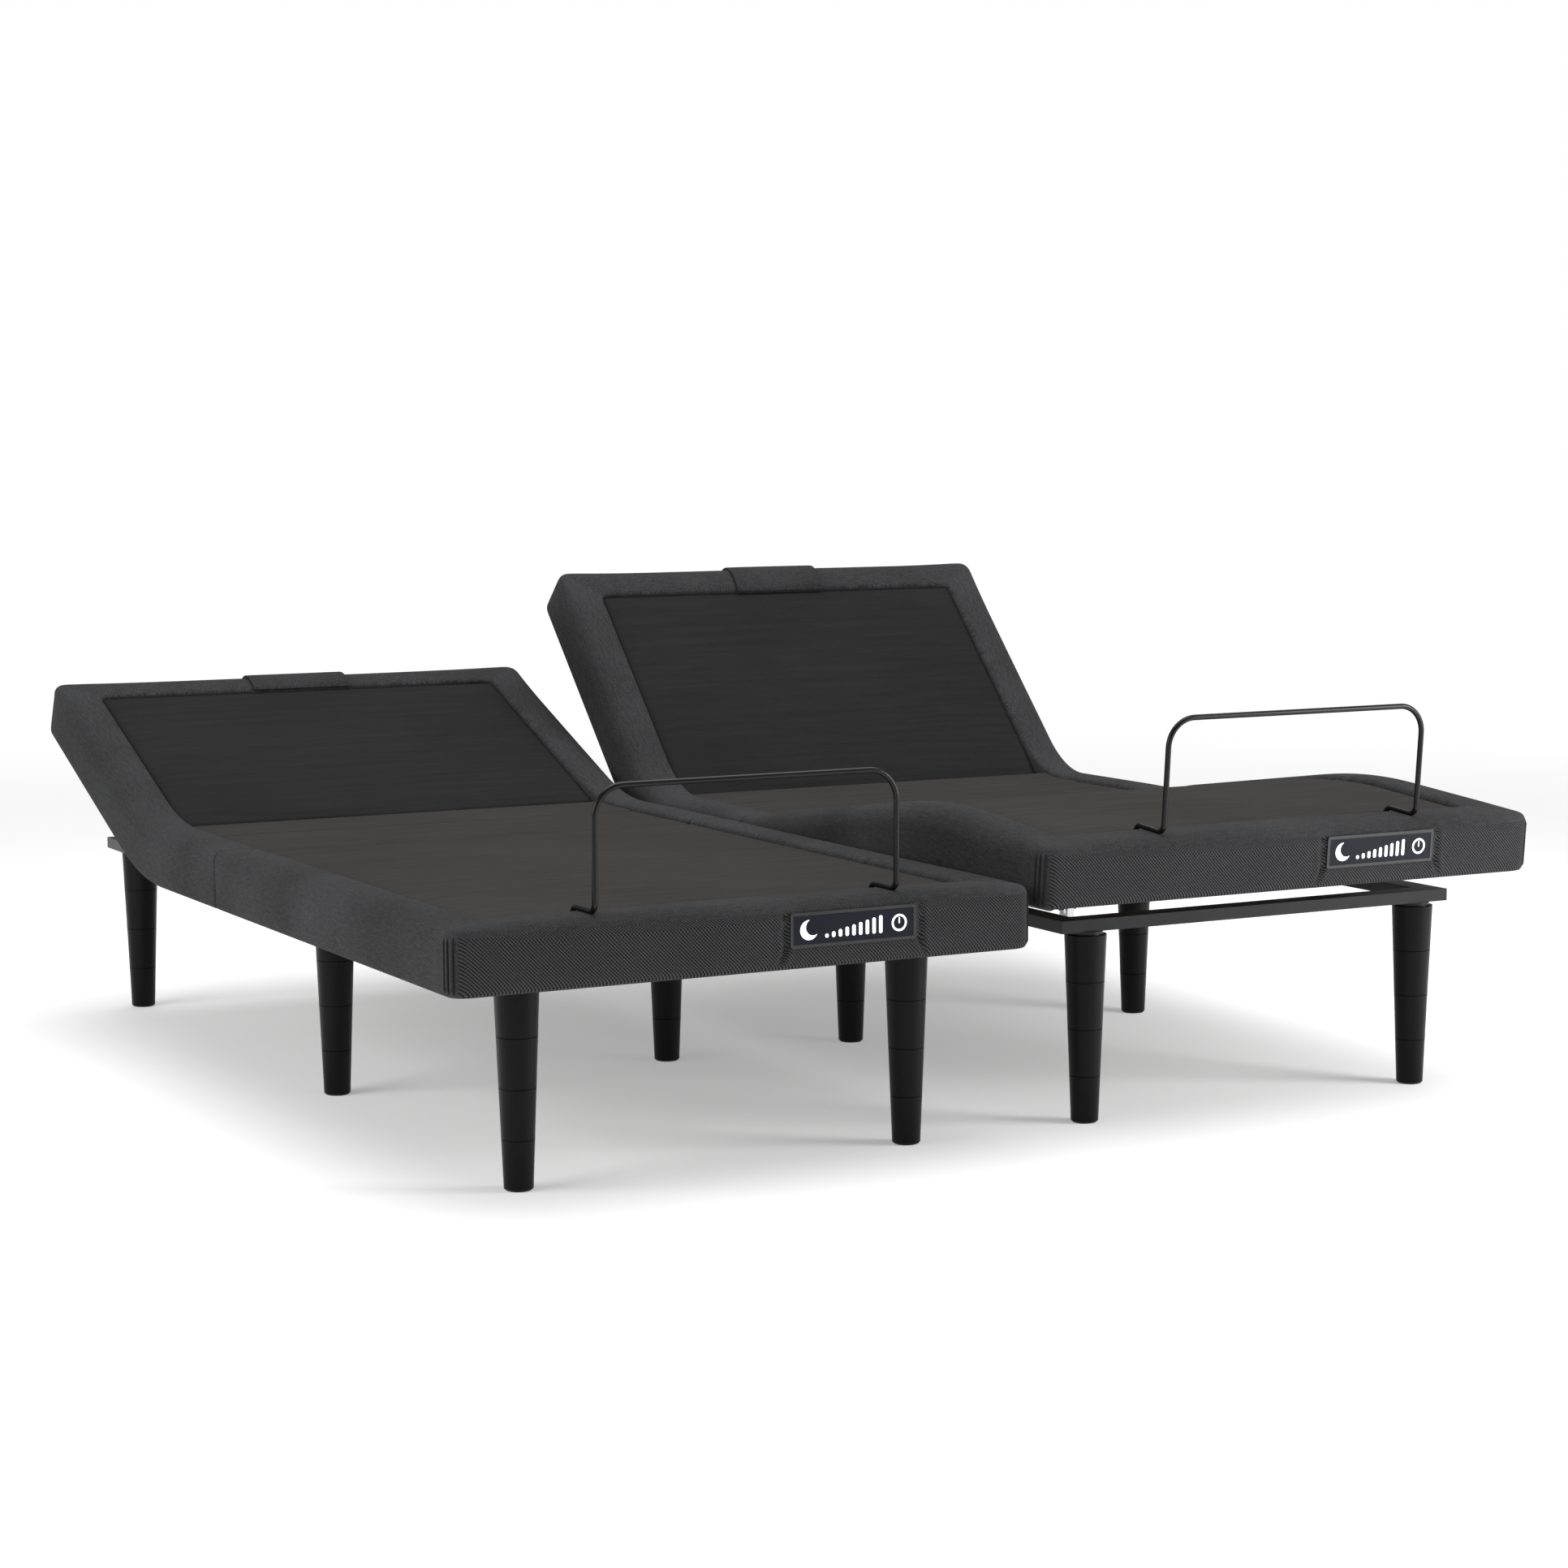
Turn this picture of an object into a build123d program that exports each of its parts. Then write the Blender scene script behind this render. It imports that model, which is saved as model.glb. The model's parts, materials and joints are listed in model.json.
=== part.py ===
from build123d import *
import os
from math import asin, cos, degrees, radians, sin

# Split adjustable bed base: two identical modules side by side, each with a
# head, seat, thigh and calf section. Millimetres, +Z up, +Y towards the head.
# A module is drawn flat in its own frame (x from its centre line, y from its
# foot face, z from the floor), then its sections are turned to the rest pose.

# ---- overall sizes -------------------------------------------------------
MODULE_WIDTH = 965.2        # 38 in
MODULE_LENGTH = 2032.0      # 80 in
MODULE_PITCH = 988.0        # centre line to centre line
LEG_HEIGHT = 304.8          # 12 in, four stacked 3 in segments
LEG_SEGMENTS = 4

# ---- rest pose (degrees above flat) and travel ---------------------------
REST_HEAD = {"left": 22.0, "right": 46.0}
REST_THIGH = {"left": 0.0, "right": 8.0}
HEAD_TRAVEL = 65.0
THIGH_TRAVEL = 32.0
CALF_RATIO = 1.59           # calf bends this much for each degree of the thigh

# ---- section hinges along the module -------------------------------------
KNEE_Y = 400.0
THIGH_Y = 1016.0
HEAD_Y = 1434.0
PIVOT_Z = 366.0
HINGE_R = 6.0
LUG_R = 14.0                # round end of the hinge plates
PLATE = 6.0                 # steel plate of lugs, arms and hangers
LUG_FOOT = 74.0             # how far a hinge plate lies along its side tube
PIN_R = 5.0                 # motor and lever pins
PIN_PLAY = 0.1              # radial play of every pin in its eye

# ---- heights of the layers -----------------------------------------------
RAIL_Z = 310.0
RAIL_TALL = 20.0
RAIL_TOP = RAIL_Z + RAIL_TALL
RAIL_WIDE = 40.0
SECTION_Z = 333.0
TUBE = 25.0
BOARD_Z = SECTION_Z + TUBE
BOARD_THICK = 16.0
PAD_Z = BOARD_Z + BOARD_THICK
PAD_TOP = 404.0
SKIRT_Z = 311.0
SKIRT_TOP = 412.0
WALL = 1.5                  # steel tube wall

# ---- widths ---------------------------------------------------------------
HALF_WIDTH = MODULE_WIDTH / 2
FRAME_HALF = 386.0
END_CAP = 3.0               # plugs that close the cross rails
RISER_WIDE = 24.0           # tubes that carry the seat board
RISER_CLEAR = 44.0          # risers stop this far from a section hinge
SIDE_TUBE_X = 402.0         # inner face of a section's side tube
BOARD_HALF = 438.0
SKIRT_THICK = 40.0
SIDE_LIP = 80.0
FOOT_LIP = 92.0
HEAD_LIP = 70.0
LIP_GAP = 4.0
TOP_GAP = 26.0              # pads stop this far from the head hinge line
SEAT_GAP = 16.0             # and this far from the thigh hinge line
BOARD_GAP = 4.0             # between a board's edge and the skirt
KNEE_GAP = 18.0             # thigh board to knee hinge line
KNEE_SKIRT_GAP = 30.0
SKIRT_GAP = 31.0
CORNER_R = 26.0
CREST_R = 18.0
LIP_R = 10.0
HEM_R = 6.0

# ---- legs ------------------------------------------------------------------
LEG_ROWS = {"foot": (128.0, 328.5), "mid": (928.0, 308.0), "head": (1927.0, 328.5)}
LEG_TOP_R = 34.0
LEG_FOOT_R = 22.0
LEG_GROOVE = 0.6
STUD_R = 5.0
STUD_DEEP = 35.0            # thread inside the leg
FLANGE_R = 28.0
JOIN_WIDE = 36.0            # plates that hold the modules together
JOIN_THICK = 5.0
JOIN_LAP = 22.0

# ---- section frames --------------------------------------------------------
TUBE_INSET = 22.0           # section frame to the inside of the skirt
HEAD_CROSS = 300.0          # middle cross tube of the head frame, from its hinge
HEAD_TRACK = 190.0          # where its roller tracks start
KNEE_CROSS = 110.0          # cross tubes of the thigh frame, from its hinges
THIGH_CROSS = 250.0
THIGH_END_CROSS = 96.0
CALF_CROSS = 90.0

# ---- lifting gear ----------------------------------------------------------
GEAR_Z = 308.0              # torque tube height
GEAR_R = 16.0
HEAD_GEAR_Y = 1414.0
LEG_GEAR_Y = 870.0
ARM_LENGTH = 280.0
ARM_X = 250.0
ROLLER_R = 14.0
ROLLER_PLAY = 0.8           # least gap between a roller and its track
ROLLER_HALF = 10.0          # half width of a roller
ARM_THICK = 8.0
ARM_SIDE = 14.0             # arm beside the middle of its roller
LEVER = 85.0
LEVER_R = 11.0
TUBE_TURN = 3.0             # wall of the torque tubes
HANGER_GAP = 15.0           # half gap between the plates that hold a motor
STEPS = 20                  # places where the arm is tested along its travel
SLOT_HALF = 16.0            # half height of the slot that a lever's pin runs in
MOTOR_X = 130.0
SEAT_RAIL_Y = 1250.0
LINK_Y = 400.0              # calf link pivot on the base frame
LINK_Z = 339.0
LINK_LENGTH = 290.0
LINK_X = 331.0
SLIDE_Z = 348.0             # underside of the calf's slim cross tubes and slides
LINK_ROLLER_R = 8.0
LINK_PIN_R = 4.0
LINK_AXLE_R = 3.0

# ---- linear motors and control box -----------------------------------------
HOUSING_HALF = 30.0
HOUSING_LONG = 92.0
HOUSING_TALL = 68.0
MOTOR_EYE = 14.0            # half size of the rear eye
CAN_R = 30.0
CAN_OFFSET = 62.0
GUIDE_R = 19.0              # outside and inside of the guide tube
GUIDE_BORE = 14.0
ROD_R = 10.0
ROD_EYE = 14.0
ROD_EYE_THICK = 14.0
CONTROL_BOX = (-320.0, -190.0, 1020.0, 1190.0)
CONTROL_TALL = 50.0

# ---- trim ------------------------------------------------------------------
BAR_R = 4.5
BAR_HALF = 250.0
BAR_TALL = 182.0
BAR_Y = 23.0
BAR_CORNER = 46.0
BAR_END_Y = 100.0
BAR_BEND = 14.0             # small bends where the bar leaves the deck
BAR_DEEP = 17.0             # foot of the bar above the section tube's underside
SOCKET_WALL = 4.5
BADGE_X = 163.0
BADGE_WIDE = 215.0
BADGE_TALL = 53.0
BADGE_Z = 370.0
BADGE_DEEP = 12.0
BADGE_PROUD = 1.5
BADGE_CORNER = 4.0
BADGE_RIM = 5.0
FLAP_WIDE = 202.0
FLAP_DEEP = 62.0
FLAP_THICK = 5.0


# ---- small builders --------------------------------------------------------
def block(x0, x1, y0, y1, z0, z1):
    """A box given by its low and high faces."""
    size = (abs(x1 - x0), abs(y1 - y0), abs(z1 - z0))
    return Pos((x0 + x1) / 2, (y0 + y1) / 2, (z0 + z1) / 2) * Box(*size)


def rod_x(x0, x1, y, z, radius):
    """A round bar along X."""
    return Pos((x0 + x1) / 2, y, z) * Rot(0, 90, 0) * Cylinder(radius, abs(x1 - x0))


def rod_y(x, y0, y1, z, radius):
    """A round bar along Y."""
    return Pos(x, (y0 + y1) / 2, z) * Rot(90, 0, 0) * Cylinder(radius, abs(y1 - y0))


def rod_z(x, y, z0, z1, radius):
    """A round bar along Z."""
    return Pos(x, y, (z0 + z1) / 2) * Cylinder(radius, abs(z1 - z0))


def tube_along_y(x0, x1, y0, y1, z0, z1):
    inner = block(x0 + WALL, x1 - WALL, y0 - 1, y1 + 1, z0 + WALL, z1 - WALL)
    return block(x0, x1, y0, y1, z0, z1) - inner


def tube_along_x(x0, x1, y0, y1, z0, z1):
    inner = block(x0 - 1, x1 + 1, y0 + WALL, y1 - WALL, z0 + WALL, z1 - WALL)
    return block(x0, x1, y0, y1, z0, z1) - inner


def both_sides(shape):
    """The shape and its mirror image across the module's centre line."""
    return [shape, mirror(shape, about=Plane.YZ)]


def eye_plate(x0, x1, y, z, radius, hole, foot):
    """A round eye on a straight foot: foot is (y0, y1, z0, z1)."""
    body = rod_x(x0, x1, y, z, radius) + block(x0, x1, *foot)
    return body - rod_x(x0 - 1, x1 + 1, y, z, hole)


# ---- geometry of the lifting gear -------------------------------------------
def arm_angle(section_angle, reach, drop, length):
    """Angle of a lift arm that keeps its roller on the track of its section.

    reach is how far the torque tube lies from the hinge towards the section,
    drop how far below it. The track is the underside of the section's tubes.
    """
    below = PIVOT_Z - SECTION_Z + ROLLER_R + ROLLER_PLAY
    a = radians(section_angle)
    side = (reach * sin(a) + drop * cos(a) - below) / length
    return section_angle + degrees(asin(side))


def lift_numbers(reach, travel, length=ARM_LENGTH):
    """Flat angle and ratio of an arm, so that its roller never digs in."""
    drop = PIVOT_Z - GEAR_Z
    flat = arm_angle(0, reach, drop, length)
    steps = [travel * k / STEPS for k in range(1, STEPS + 1)]
    ratio = min((arm_angle(t, reach, drop, length) - flat) / t for t in steps)
    return flat, ratio


HEAD_ARM_FLAT, HEAD_ARM_RATIO = lift_numbers(HEAD_GEAR_Y - HEAD_Y, HEAD_TRAVEL)
LEG_ARM_FLAT, LEG_ARM_RATIO = lift_numbers(THIGH_Y - LEG_GEAR_Y, THIGH_TRAVEL)


def link_angle(thigh_angle):
    """Angle of a calf link that keeps its roller on the slide under the calf."""
    t = radians(thigh_angle)
    g = radians((CALF_RATIO - 1) * thigh_angle)
    knee_y = THIGH_Y - (THIGH_Y - KNEE_Y) * cos(t)
    knee_z = PIVOT_Z + (THIGH_Y - KNEE_Y) * sin(t)
    below = SLIDE_Z - LINK_ROLLER_R - ROLLER_PLAY - PIVOT_Z
    side = (below + (LINK_Y - knee_y) * sin(g) - (LINK_Z - knee_z) * cos(g)) / LINK_LENGTH
    return degrees(asin(side) - g)


def link_ratio():
    steps = [THIGH_TRAVEL * k / 20 for k in range(1, 21)]
    return min((link_angle(t) - link_angle(0)) / t for t in steps)


LINK_RATIO = link_ratio()


def rod_travel(ratio, travel):
    """Straight stroke of a motor rod for the whole swing of its lever."""
    return 2 * LEVER * sin(radians(ratio * travel / 2))


# ---- placing: from a flat module to the rest pose ----------------------------
def turn(shapes, degrees_up, y, z):
    axis = Axis((0, y, z), (1, 0, 0))
    return [s.rotate(axis, degrees_up) for s in shapes]


def head_reach(angle):
    """How far from the foot face a raised head section's lower edge comes."""
    out = MODULE_LENGTH - HEAD_Y - HEM_R
    low = PIVOT_Z - SKIRT_Z - HEM_R
    return HEAD_Y + out * cos(radians(angle)) + low * sin(radians(angle)) + HEM_R


# the origin lies under the middle of the whole base: from the lit plates at the
# foot to the furthest edge of the lower head section
ORIGIN_Y = (head_reach(min(REST_HEAD.values())) - BADGE_PROUD) / 2


def pose(section, side, shapes):
    """Turn a section's flat shapes to the rest pose and move them into place."""
    head, thigh = REST_HEAD[side], REST_THIGH[side]
    if section == "head":
        shapes = turn(shapes, head, HEAD_Y, PIVOT_Z)
    if section == "calf":
        shapes = turn(shapes, CALF_RATIO * thigh, KNEE_Y, PIVOT_Z)
    if section in ("thigh", "calf"):
        shapes = turn(shapes, -thigh, THIGH_Y, PIVOT_Z)
    if section == "head_lift":
        shapes = turn(shapes, HEAD_ARM_RATIO * head, HEAD_GEAR_Y, GEAR_Z)
    if section == "leg_lift":
        shapes = turn(shapes, -LEG_ARM_RATIO * thigh, LEG_GEAR_Y, GEAR_Z)
    if section == "calf_link":
        shapes = turn(shapes, -LINK_RATIO * thigh, LINK_Y, LINK_Z)
    slide = 0.0
    if section == "head_rod":
        slide = rod_travel(HEAD_ARM_RATIO, HEAD_TRAVEL) * head / HEAD_TRAVEL
    if section == "leg_rod":
        slide = -rod_travel(LEG_ARM_RATIO, THIGH_TRAVEL) * thigh / THIGH_TRAVEL
    x = MODULE_PITCH / 2 * (-1 if side == "left" else 1)
    return [Pos(x, slide - ORIGIN_Y, 0) * s for s in shapes]


# ---- fixed base ---------------------------------------------------------------
def hinge_lug(y):
    """Upright plate on the outside of a side rail that carries a section hinge."""
    x0 = FRAME_HALF
    foot = (y - 16, y + 16, RAIL_Z, PIVOT_Z)
    return eye_plate(x0, x0 + PLATE, y, PIVOT_Z, LUG_R, HINGE_R + PIN_PLAY, foot)


def gear_hanger(y):
    """Plate on the inside of a side rail that carries a torque tube."""
    x1 = FRAME_HALF - RAIL_WIDE
    foot = (y - 24, y + 24, GEAR_Z, RAIL_TOP)
    return eye_plate(x1 - PLATE, x1, y, GEAR_Z, 24, GEAR_R + PIN_PLAY, foot)


def link_stand():
    """Plate on the inside of a side rail with the welded stud of a calf link."""
    x1 = FRAME_HALF - RAIL_WIDE
    plate = block(x1 - 3, x1, LINK_Y - 12, LINK_Y + 12, RAIL_Z, LINK_Z + 8)
    stud = rod_x(LINK_X - 12, x1 - 3, LINK_Y, LINK_Z, LINK_PIN_R)
    return plate + stud


def motor_hanger(x, y):
    """Two plates under a cross rail that hold the rear eye of a motor."""
    z = GEAR_Z - LEVER
    plates = []
    for x0 in (x - HANGER_GAP - PLATE, x + HANGER_GAP):
        foot = (y - 16, y + 16, z, RAIL_Z)
        plates.append(eye_plate(x0, x0 + PLATE, y, z, 16, PIN_R + PIN_PLAY, foot))
    return plates


def cross_rail(y, half):
    side = RAIL_WIDE / 2
    rail = tube_along_x(-half, half, y - side, y + side, RAIL_Z, RAIL_TOP)
    for row_y, row_x in LEG_ROWS.values():
        if row_y == y:
            for x in (-row_x, row_x):
                rail -= rod_z(x, y, RAIL_Z - 1, RAIL_Z + WALL + 1, STUD_R + PIN_PLAY)
    return rail


def base_frame():
    foot_y, mid_y, head_y = (LEG_ROWS[row][0] for row in ("foot", "mid", "head"))
    side = RAIL_WIDE / 2
    inner = FRAME_HALF - RAIL_WIDE
    pieces = []
    for y in (foot_y, head_y):
        pieces.append(cross_rail(y, FRAME_HALF - END_CAP))
        end = block(FRAME_HALF - END_CAP, FRAME_HALF, y - side, y + side, RAIL_Z, RAIL_TOP)
        pieces += both_sides(end)
    for y in (mid_y, SEAT_RAIL_Y):
        pieces.append(cross_rail(y, inner))
    rail = tube_along_y(inner, FRAME_HALF, foot_y + side, head_y - side, RAIL_Z, RAIL_TOP)
    x0 = inner + side - RISER_WIDE / 2
    y0, y1 = THIGH_Y + RISER_CLEAR, HEAD_Y - RISER_CLEAR
    riser = tube_along_y(x0, x0 + RISER_WIDE, y0, y1, RAIL_TOP, BOARD_Z)
    for shape in (rail, riser, hinge_lug(THIGH_Y), hinge_lug(HEAD_Y), link_stand()):
        pieces += both_sides(shape)
    for y in (HEAD_GEAR_Y, LEG_GEAR_Y):
        pieces += both_sides(gear_hanger(y))
    pieces += motor_hanger(-MOTOR_X, mid_y)
    pieces += motor_hanger(MOTOR_X, SEAT_RAIL_Y)
    return pieces


def leg_radius(z):
    return LEG_FOOT_R + (LEG_TOP_R - LEG_FOOT_R) * z / LEG_HEIGHT


def leg_segment(index):
    """One tapered 3 in segment with a shallow groove at each end."""
    tall = LEG_HEIGHT / LEG_SEGMENTS
    z0, z1 = index * tall, (index + 1) * tall
    g = LEG_GROOVE
    low = 3.0 if index == 0 else g
    top = 0.6 if index == LEG_SEGMENTS - 1 else g
    outline = [(0, z0), (leg_radius(z0) - low, z0), (leg_radius(z0 + low), z0 + low)]
    outline += [(leg_radius(z1 - top), z1 - top), (leg_radius(z1) - top, z1), (0, z1)]
    profile = make_face(Plane.XZ * Polyline(*outline, close=True))
    segment = revolve(profile, Axis.Z)
    if index == LEG_SEGMENTS - 1:
        segment -= rod_z(0, 0, z1 - STUD_DEEP - 1, z1 + 1, STUD_R + PIN_PLAY)
    return segment


def legs():
    segments = [leg_segment(k) for k in range(LEG_SEGMENTS)]
    places = [(x, y) for y, half in LEG_ROWS.values() for x in (-half, half)]
    return [Pos(x, y, 0) * segment for x, y in places for segment in segments]


def leg_studs():
    """Threaded studs with a round flange between each leg and its rail."""
    stud = rod_z(0, 0, LEG_HEIGHT - STUD_DEEP, RAIL_TOP - 4, STUD_R)
    stud += rod_z(0, 0, LEG_HEIGHT, RAIL_Z, FLANGE_R)
    return [Pos(x, y, 0) * stud for y, half in LEG_ROWS.values() for x in (-half, half)]


def bolt(x0, x1, y, z, radius):
    """A pin along X with a round head at each end."""
    shank = rod_x(x0, x1, y, z, radius)
    return shank + rod_x(x0 - 4, x0, y, z, radius + 3) + rod_x(x1, x1 + 3, y, z, radius + 3)


def hinge_bolts():
    """Section hinge bolts and the motors' rear pins, all held by the base."""
    pins = []
    for y in (THIGH_Y, HEAD_Y):
        pins += both_sides(bolt(FRAME_HALF, SIDE_TUBE_X, y, PIVOT_Z, HINGE_R))
    z = GEAR_Z - LEVER
    half = HANGER_GAP + PLATE
    pins.append(bolt(-MOTOR_X - half, -MOTOR_X + half, LEG_ROWS["mid"][0], z, PIN_R))
    pins.append(bolt(MOTOR_X - half, MOTOR_X + half, SEAT_RAIL_Y, z, PIN_R))
    return pins


def joining_plates():
    """Flat bars under the mid and head rails that hold the two modules together."""
    reach = MODULE_PITCH / 2 - FRAME_HALF + JOIN_LAP
    side = JOIN_WIDE / 2
    plates = []
    for y in (LEG_ROWS["mid"][0], LEG_ROWS["head"][0]):
        plate = block(-reach, reach, y - side, y + side, RAIL_Z - JOIN_THICK, RAIL_Z)
        plates.append(Pos(0, -ORIGIN_Y, 0) * plate)
    return plates


# ---- section frames -------------------------------------------------------------
def section_lug(x0, y, towards, hole=True):
    """Hinge plate beside a section's side tube; towards is +1 or -1 along Y."""
    x1 = x0 + PLATE
    far = y + towards * LUG_FOOT
    foot = block(x0, x1, min(y, far), max(y, far), SECTION_Z, BOARD_Z)
    near = y + towards * LUG_R
    neck = block(x0, x1, min(y, near), max(y, near), SECTION_Z + 2, PIVOT_Z)
    plate = rod_x(x0, x1, y, PIVOT_Z, LUG_R) + neck + foot
    if hole:
        plate -= rod_x(x0 - 1, x1 + 1, y, PIVOT_Z, HINGE_R + PIN_PLAY)
    return plate


def side_tubes(y0, y1):
    tube = tube_along_y(SIDE_TUBE_X, SIDE_TUBE_X + TUBE, y0, y1, SECTION_Z, SECTION_Z + TUBE)
    return both_sides(tube)


def cross_tube(y, half=SIDE_TUBE_X, low=SECTION_Z):
    return tube_along_x(-half, half, y - TUBE / 2, y + TUBE / 2, low, SECTION_Z + TUBE)


def track(y0, y1):
    """Pair of short tubes that the lift rollers push on."""
    x0 = ARM_X - TUBE / 2
    return both_sides(tube_along_y(x0, x0 + TUBE, y0, y1, SECTION_Z, SECTION_Z + TUBE))


def head_frame():
    end = MODULE_LENGTH - SKIRT_THICK - TUBE_INSET
    middle = HEAD_Y + HEAD_CROSS
    pieces = side_tubes(HEAD_Y + 30, end)
    pieces += both_sides(section_lug(SIDE_TUBE_X - PLATE, HEAD_Y, 1))
    pieces += [cross_tube(y) for y in (middle, end - TUBE / 2)]
    return pieces + track(HEAD_Y + HEAD_TRACK, middle - TUBE / 2)


def thigh_frame():
    front, back = KNEE_Y + KNEE_CROSS, THIGH_Y - THIGH_CROSS
    pieces = side_tubes(KNEE_Y + 20, THIGH_Y - 30)
    lug_x = SIDE_TUBE_X - PLATE
    pieces += both_sides(section_lug(lug_x, THIGH_Y, -1))
    knee = section_lug(lug_x, KNEE_Y, 1, hole=False)
    knee += rod_x(lug_x - 10, lug_x, KNEE_Y, PIVOT_Z, HINGE_R)
    pieces += both_sides(knee)
    pieces += [cross_tube(y) for y in (front, back, THIGH_Y - THIGH_END_CROSS)]
    return pieces + track(front + TUBE / 2, back - TUBE / 2)


def calf_frame():
    foot = SKIRT_THICK + TUBE_INSET
    rear = KNEE_Y - CALF_CROSS
    pieces = side_tubes(foot, KNEE_Y - 20)
    lug_x = SIDE_TUBE_X - 2.5 * PLATE
    spacer = block(lug_x + PLATE, SIDE_TUBE_X, KNEE_Y - LUG_FOOT, KNEE_Y - 30, SECTION_Z, BOARD_Z)
    pieces += both_sides(section_lug(lug_x, KNEE_Y, -1)) + both_sides(spacer)
    pieces += [cross_tube(foot + TUBE / 2, lug_x, SLIDE_Z), cross_tube(rear, lug_x, SLIDE_Z)]
    slide = block(LINK_X - 10, LINK_X + 10, foot + TUBE, rear - TUBE / 2, SLIDE_Z, BOARD_Z)
    socket = rod_z(BAR_HALF, BAR_END_Y, SLIDE_Z, BOARD_Z, BAR_R + SOCKET_WALL)
    socket -= rod_z(BAR_HALF, BAR_END_Y, SLIDE_Z - 1, BOARD_Z + 1, BAR_R + 0.3)
    socket -= block(BAR_HALF - 20, BAR_HALF + 20, foot, foot + TUBE, SLIDE_Z - 1, BOARD_Z + 1)
    return pieces + both_sides(slide) + both_sides(socket)


# ---- deck: boards, pads and padded borders ---------------------------------------
def board(y0, y1):
    return block(-BOARD_HALF, BOARD_HALF, y0, y1, BOARD_Z, BOARD_Z + BOARD_THICK)


def pad(y0, y1):
    half = HALF_WIDTH - SIDE_LIP - LIP_GAP
    return [block(-half, half, y0, y1, PAD_Z, PAD_TOP)]


def border_profile(lip):
    """Section of the padded border: skirt wall with a rolled lip over the board.

    First coordinate is the distance in from the outer face, second is height.
    """
    top, bottom = SKIRT_TOP, SKIRT_Z
    points = [(0, bottom), (0, top), (lip, top), (lip, PAD_Z)]
    points += [(SKIRT_THICK, PAD_Z), (SKIRT_THICK, bottom)]
    face = make_face(Polyline(*points, close=True))
    crest = face.vertices().group_by(Axis.Y)[-1]
    face = fillet(crest.sort_by(Axis.X)[0], CREST_R)
    face = fillet(face.vertices().group_by(Axis.Y)[-1].sort_by(Axis.X)[-1], LIP_R)
    hem = face.vertices().group_by(Axis.Y)[0]
    return fillet(hem, HEM_R)


def side_border(y0, y1):
    """Left and right stretch of the border between two places along the module."""
    flat = border_profile(SIDE_LIP)
    left = extrude(Plane((-HALF_WIDTH, y0, 0), x_dir=(1, 0, 0), z_dir=(0, -1, 0)) * flat, y0 - y1)
    return both_sides(left)


def end_border(y_face, lip, inward, y_join):
    """U of the border round one end: the end wall and two mitred sides.

    inward is +1 at the foot end and -1 at the head end.
    """
    plane = Plane((0, y_face, 0), x_dir=(0, inward, 0), z_dir=(inward, 0, 0))
    wall = extrude(plane * border_profile(lip), HALF_WIDTH, both=True)
    # the mitre lines run from the outer corners through the inner corners of the lips
    apex = (0, y_face + inward * lip * HALF_WIDTH / SIDE_LIP)
    back_x, back_y = HALF_WIDTH + SIDE_LIP, y_face - inward * lip
    triangle = make_face(Polyline((-back_x, back_y), apex, (back_x, back_y), close=True))
    wedge = extrude(triangle, SKIRT_TOP + 50, dir=(0, 0, 1))
    sides = side_border(min(y_face, y_join), max(y_face, y_join))
    pieces = [wall & wedge] + [side - wedge for side in sides]
    return [round_corner(piece) for piece in pieces]


def round_corner(shape):
    """Trim a border piece to the rounded outline that the module has in plan."""
    plan = Pos(0, MODULE_LENGTH / 2, 0) * RectangleRounded(MODULE_WIDTH, MODULE_LENGTH, CORNER_R)
    return shape & (Pos(0, 0, SKIRT_Z - 9) * extrude(plan, SKIRT_TOP - SKIRT_Z + 18))


def head_flap():
    """Short padded flap over the middle of the head border's top."""
    y1 = MODULE_LENGTH - CREST_R
    half = FLAP_WIDE / 2
    return [block(-half, half, y1 - FLAP_DEEP, y1, SKIRT_TOP, SKIRT_TOP + FLAP_THICK)]


# ---- trim at the foot ---------------------------------------------------------------
def retainer_bar():
    """Bent rod that stops the mattress sliding off the foot end."""
    low = SKIRT_TOP + BAR_R + 1
    h = BAR_HALF
    route = [(-h, BAR_END_Y, SECTION_Z + BAR_DEEP), (-h, BAR_END_Y, low)]
    route += [(-h, BAR_Y, low), (-h, BAR_Y, low + BAR_TALL)]
    route += [(-x, y, z) for x, y, z in reversed(route)]
    bends = [BAR_BEND, BAR_BEND, BAR_CORNER]
    path = FilletPolyline(*route, radius=bends + bends[::-1])
    return [sweep(Plane(path @ 0, z_dir=path % 0) * Circle(BAR_R), path=path)]


def badge_box(margin, y0, y1):
    w, t = BADGE_WIDE / 2 + margin, BADGE_TALL / 2 + margin
    return block(BADGE_X - w, BADGE_X + w, y0, y1, BADGE_Z - t, BADGE_Z + t)


def light_case():
    """Case of the lit plate let into the foot panel."""
    case = badge_box(0, -BADGE_PROUD, BADGE_DEEP)
    case = fillet(case.edges().filter_by(Axis.Y), BADGE_CORNER)
    return [case - badge_box(-BADGE_RIM, -BADGE_PROUD - 1, 0)]


def light_lens():
    return [badge_box(-BADGE_RIM - 0.2, -BADGE_PROUD + 0.4, 0)]


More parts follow.
